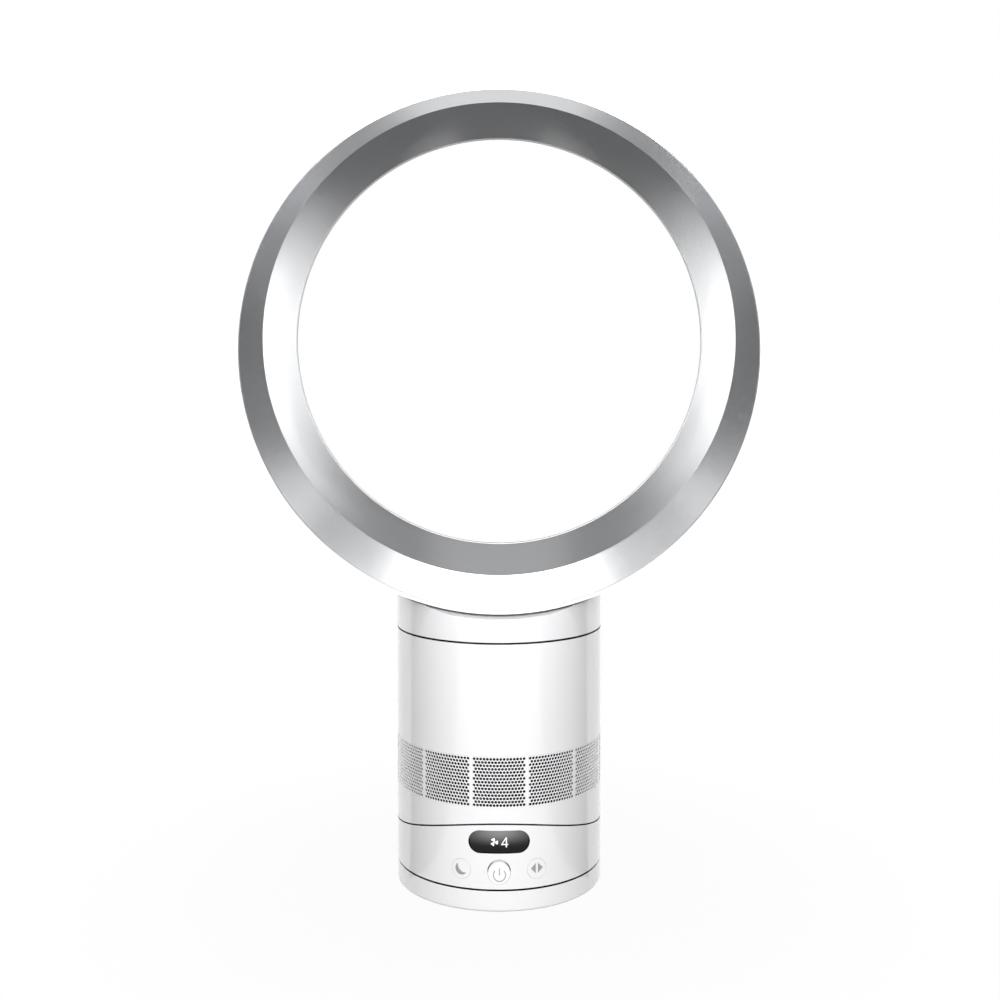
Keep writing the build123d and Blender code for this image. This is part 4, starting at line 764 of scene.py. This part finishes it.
def crescent(centre, radius, bite_shift, bite_radius, steps=40):
    """Moon: the band between a circle's arc and the arc of a second circle that bites into it.

    Both arcs run between the two points where the circles cross, at equal shares of their angles.
    """
    shift = np.array(bite_shift)
    gap = np.linalg.norm(shift)
    along = (radius ** 2 - bite_radius ** 2 + gap ** 2) / (2 * gap)
    half_outer = math.acos(along / radius)
    half_inner = math.acos((gap - along) / bite_radius)
    towards = math.atan2(shift[1], shift[0])
    outer = towards + np.linspace(half_outer, 2 * math.pi - half_outer, steps + 1)
    inner = towards + math.pi + np.linspace(-half_inner, half_inner, steps + 1)
    outer_line = centre + radius * rays(outer)
    inner_line = centre + shift + bite_radius * rays(inner)
    if np.linalg.norm(outer_line[0] - inner_line[0]) > np.linalg.norm(outer_line[0] - inner_line[-1]):
        inner_line = inner_line[::-1]
    return strip(outer_line, inner_line, 4)


def propeller_blade(centre, angle, tip_r, steps=14):
    """Blade of the fan sign: a wedge whose middle line swings on as it goes out, with rounded outer corners.

    At a share s of the way out its middle line is turned by BLADE_SWING times s, and its half width is
    the angle BLADE_HALF less BLADE_NARROWING times s. Past ROUNDED_FROM that is narrowed by the root
    of 1 less BLADE_ROUNDING times q squared, with q from 0 to 1.
    """
    share = np.linspace(BLADE_ROOT, 1, steps + 1)
    last = np.clip((share - ROUNDED_FROM) / (1 - ROUNDED_FROM), 0, 1)
    half = (BLADE_HALF - BLADE_NARROWING * share) * np.sqrt(1 - BLADE_ROUNDING * last ** 2)
    middle = angle + BLADE_SWING * share
    radius = tip_r * share[:, None]
    return strip(centre + radius * rays(middle - half), centre + radius * rays(middle + half), 6)


def printed_mark(name, shapes, facing, finish, body, slot, lean=0.0, pivot=0.0):
    """Joins flat shapes, lays them on the wall and makes every face point outwards."""
    points, faces, used = [], [], 0
    for shape_points, shape_faces in shapes:
        corner = shape_points[shape_faces]
        edge_a, edge_b = corner[:, 1] - corner[:, 0], corner[:, 3] - corner[:, 0]
        turned = np.cross(edge_a, edge_b).sum() < 0
        points.append(on_wall(shape_points, facing, lean, pivot))
        faces.append((shape_faces[:, ::-1] if turned else shape_faces) + used)
        used += len(shape_points)
    add_piece(name, np.concatenate(points), np.concatenate(faces), finish, body, slot)


def display_marks():
    """Fan sign and the number 4, side by side in the window."""
    middle = np.array([0.0, WINDOW_MIDDLE])
    angles = [math.radians(SIGN_TURN + 120 * blade) for blade in range(3)]
    sign = [propeller_blade(middle + SIGN_PLACE, angle, SIGN_R) for angle in angles]
    number = [line_stroke(middle + np.array(start) * MM, middle + np.array(end) * MM, width * MM)
              for start, end, width in NUMBER_STROKES]
    printed_mark("display_fan_sign", sign, 0.0, PRINT_WHITE, "turret", "inner_white")
    printed_mark("display_number", number, 0.0, PRINT_WHITE, "turret", "inner_white")


def power_mark():
    """Open ring with an upright bar in its gap, a little below the button's middle."""
    middle = np.array([0.0, POWER_MIDDLE]) + POWER_SIGN_PLACE
    low, high = (middle + np.array([0.0, end]) for end in POWER_BAR)
    ring = arc_stroke(middle, POWER_SIGN_R, POWER_SIGN_LINE, *POWER_SIGN_GAP)
    bar = line_stroke(low, high, POWER_SIGN_LINE)
    printed_mark("power_sign", [ring, bar], 0.0, PRINT_GREY, "power_key", "inner_grey",
                 POWER_LEAN, BUTTON_PIVOT_Z)


def sleep_mark():
    """Crescent moon, open to the upper right."""
    moon = crescent(np.array([0.0, SIDE_MIDDLE + MOON_LIFT]), MOON_R, MOON_BITE, MOON_BITE_R)
    printed_mark("sleep_sign", [moon], -SIDE_ANGLE, PRINT_GREY, "sleep_key", "inner_grey")


def swing_mark():
    """Two arrowheads that point away from a plain gap."""
    height = SIDE_MIDDLE + ARROW_LIFT
    arrows = [triangle((side * ARROW_TIP, height), (side * ARROW_BASE, height - ARROW_HALF),
                       (side * ARROW_BASE, height + ARROW_HALF)) for side in (-1, 1)]
    printed_mark("swing_sign", arrows, SIDE_ANGLE, PRINT_GREY, "swing_key", "inner_grey")


display_marks()
power_mark()
sleep_mark()
swing_mark()


# ---------------------------------------------------------------- studio

CAMERA_PLACE = (0.0, -0.978, 0.366)
CAMERA_PITCH = math.radians(1.33)
LENS = 49.34
SENSOR_WIDTH = 36.0
FRAME_SHIFT_X = 0.0009
FRAME_SHIFT_Y = -0.1035

FLOOR_HALF = 6.0
FLOOR_PAPER = (0.28, 0.28, 0.28)
FLOOR_WHITE = (BASE_R, 5 * BASE_R, 0.96, 1.0)   # share of plain white, from the base outwards


def place_camera():
    """At about the height of the ring's middle, pitched down a little, straight at the front.

    The frame is shifted to bring the base into it.
    """
    camera = bpy.data.cameras.new("camera")
    camera.lens = LENS
    camera.sensor_width = SENSOR_WIDTH
    camera.shift_x = FRAME_SHIFT_X
    camera.shift_y = FRAME_SHIFT_Y
    holder = bpy.data.objects.new("camera", camera)
    holder.location = CAMERA_PLACE
    holder.rotation_euler = (math.pi / 2 - CAMERA_PITCH, 0.0, 0.0)
    bpy.context.scene.collection.objects.link(holder)
    bpy.context.scene.camera = holder


def seen_share(tree):
    """1 for what the camera, gloss and glass see, 0 for the light on matt surfaces."""
    path = tree.nodes.new("ShaderNodeLightPath")
    kinds = [path.outputs[f"Is {kind} Ray"] for kind in ("Glossy", "Transmission", "Camera")]
    return math_node(tree, "ADD", *kinds, clamp=True)


def pale_room():
    """World: plain white to the camera, gloss and glass; the lamps alone light the matt surfaces."""
    world = bpy.data.worlds.new("pale_room")
    bpy.context.scene.world = world
    world.use_nodes = True
    tree = world.node_tree
    tree.nodes.clear()
    light = tree.nodes.new("ShaderNodeBackground")
    fill(tree, light, {"Color": (1.0, 1.0, 1.0), "Strength": seen_share(tree)})
    end_tree(tree, light.outputs[0], "ShaderNodeOutputWorld")


def flat_sheet(name, middle, width_axis, height_axis, material):
    """Object with one four-sided face about a middle, given half its width and half its height."""
    middle, width_axis, height_axis = (np.array(value, float) for value in (middle, width_axis, height_axis))
    corners = [middle + a * width_axis + b * height_axis for a, b in ((-1, -1), (1, -1), (1, 1), (-1, 1))]
    mesh = bpy.data.meshes.new(name)
    mesh.from_pydata([tuple(corner) for corner in corners], [], [(0, 1, 2, 3)])
    mesh.materials.append(material)
    sheet = bpy.data.objects.new(name, mesh)
    bpy.context.scene.collection.objects.link(sheet)
    return sheet


def white_floor():
    """Wide floor that melts into the white behind it and keeps the fan's soft shadow.

    What the camera, gloss and glass see of it is mixed with plain white; other light meets grey paper.
    """
    material, tree = new_material("floor_white")
    paper = fill(tree, tree.nodes.new("ShaderNodeBsdfDiffuse"), {"Color": FLOOR_PAPER})
    white = fill(tree, tree.nodes.new("ShaderNodeEmission"), {"Strength": 1.0})
    away = ramp(tree, distance_from_axis(tree, *object_coordinates(tree)[1:3]), *FLOOR_WHITE)
    share = math_node(tree, "MULTIPLY", seen_share(tree), away)
    mix = tree.nodes.new("ShaderNodeMixShader")
    fill(tree, mix, {0: share, 1: paper.outputs[0], 2: white.outputs[0]})
    end_tree(tree, mix.outputs[0])
    floor = flat_sheet("floor", (0.0, 0.0, 0.0), (FLOOR_HALF, 0.0, 0.0), (0.0, FLOOR_HALF, 0.0), material)


def lamp(name, place, aim, width, height, power, in_gloss=True, in_diffuse=True):
    """Soft rectangular lamp that faces a point, with its power in watts.

    It may light only the gloss, or only the matt share.
    """
    light = bpy.data.lights.new(name, "AREA")
    light.shape = "RECTANGLE"
    light.size = width
    light.size_y = height
    light.energy = power
    holder = bpy.data.objects.new(name, light)
    holder.location = place
    direction = Vector(aim) - Vector(place)
    holder.rotation_euler = direction.to_track_quat("-Z", "Y").to_euler()
    holder.visible_camera = False
    holder.visible_glossy = in_gloss
    holder.visible_diffuse = in_diffuse
    bpy.context.scene.collection.objects.link(holder)


def card(name, middle, width_axis, height_axis, tone):
    """Plain card that only gloss sees: it gives the metal and the white gloss their darker bands.

    The axes run from its middle to the middle of its sides, so they are half its width and height.
    """
    material, tree = new_material(name)
    glow = fill(tree, tree.nodes.new("ShaderNodeEmission"), {"Color": (tone, tone, tone)})
    end_tree(tree, glow.outputs[0])
    holder = flat_sheet(name, middle, width_axis, height_axis, material)
    holder.visible_camera = False
    holder.visible_shadow = False
    holder.visible_diffuse = False


def side_studio(side, name):
    """Lamps and cards of one side: side is -1 on the left and 1 on the right.

    The softboxes light the front and draw the gloss behind; the rear and low lamps light only the
    matt share. The cards darken the ring's metal, its bevel and the sides of the base.
    """
    lamp(f"front_{name}_softbox", (side * 0.50, -1.75, 0.75), (0.0, 0.0, 0.25), 1.0, 1.4, 21.5)
    lamp(f"back_{name}_softbox", (side * 0.95, 1.15, 0.45), (0.0, 0.0, 0.35), 0.8, 1.2, 10.0,
         in_diffuse=False)
    lamp(f"rear_{name}_lamp", (side * 0.95, 1.15, 0.75), (0.0, 0.0, 0.35), 0.8, 0.8, 4.0, in_gloss=False)
    lamp(f"low_{name}_lamp", (side * 0.55, 0.60, 0.16), (0.0, 0.0, 0.10), 0.5, 0.3, 4.9, in_gloss=False)
    card(f"{name}_card", (side * 0.9, -0.10, 0.60), (0.0, 0.45, 0.0), (0.0, 0.0, 0.60), 0.02)
    card(f"{name}_front_card", (side * 0.38, -0.60, 0.40), (0.33, 0.0, 0.0), (0.0, 0.0, 0.24), 0.05)
    card(f"{name}_floor_card", (side * 0.90, -0.268, 0.003), (side * 0.435, 0.218, 0.0),
         (side * 0.385, -0.46, 0.0), 0.06)
    card(f"{name}_bevel_card", (side * 0.21, 0.135, 0.19), (side * 0.13, 0.0, 0.0), (0.0, 0.065, 0.0), 0.25)
    card(f"{name}_high_card", (side * 0.62, -0.40, 1.35), (side * 0.27, 0.0, -0.15), (0.0, -0.45, 0.0), 0.22)


def middle_studio():
    """Lamps and cards on the middle line: the back cards are what the ring's inside reflects."""
    lamp("top_softbox", (0.0, -0.70, 1.45), (0.0, 0.0, 0.25), 0.8, 0.6, 5.0)
    card("back_card", (0.0, 1.2, 0.9), (0.36, 0.0, 0.0), (0.0, 0.0, 0.9), 0.14)
    card("back_pale_card", (0.0, 1.18, 0.75), (0.12, 0.0, 0.0), (0.0, 0.0, 0.25), 0.42)
    card("back_floor_card", (0.0, 1.05, 0.003), (0.085, 0.0, 0.0), (0.0, 0.15, 0.0), 0.10)
    card("back_low_card", (0.0, 0.40, 0.26), (0.30, 0.0, 0.0), (0.0, 0.0, 0.09), 0.06)
    lamp("neck_lamp", (0.0, -0.14, 0.42), (0.0, -0.065, 0.19), 0.12, 0.04, 0.36, in_gloss=False)


place_camera()
pale_room()
white_floor()
side_studio(-1, "left")
side_studio(1, "right")
middle_studio()

bpy.context.scene.view_settings.view_transform = "Standard"
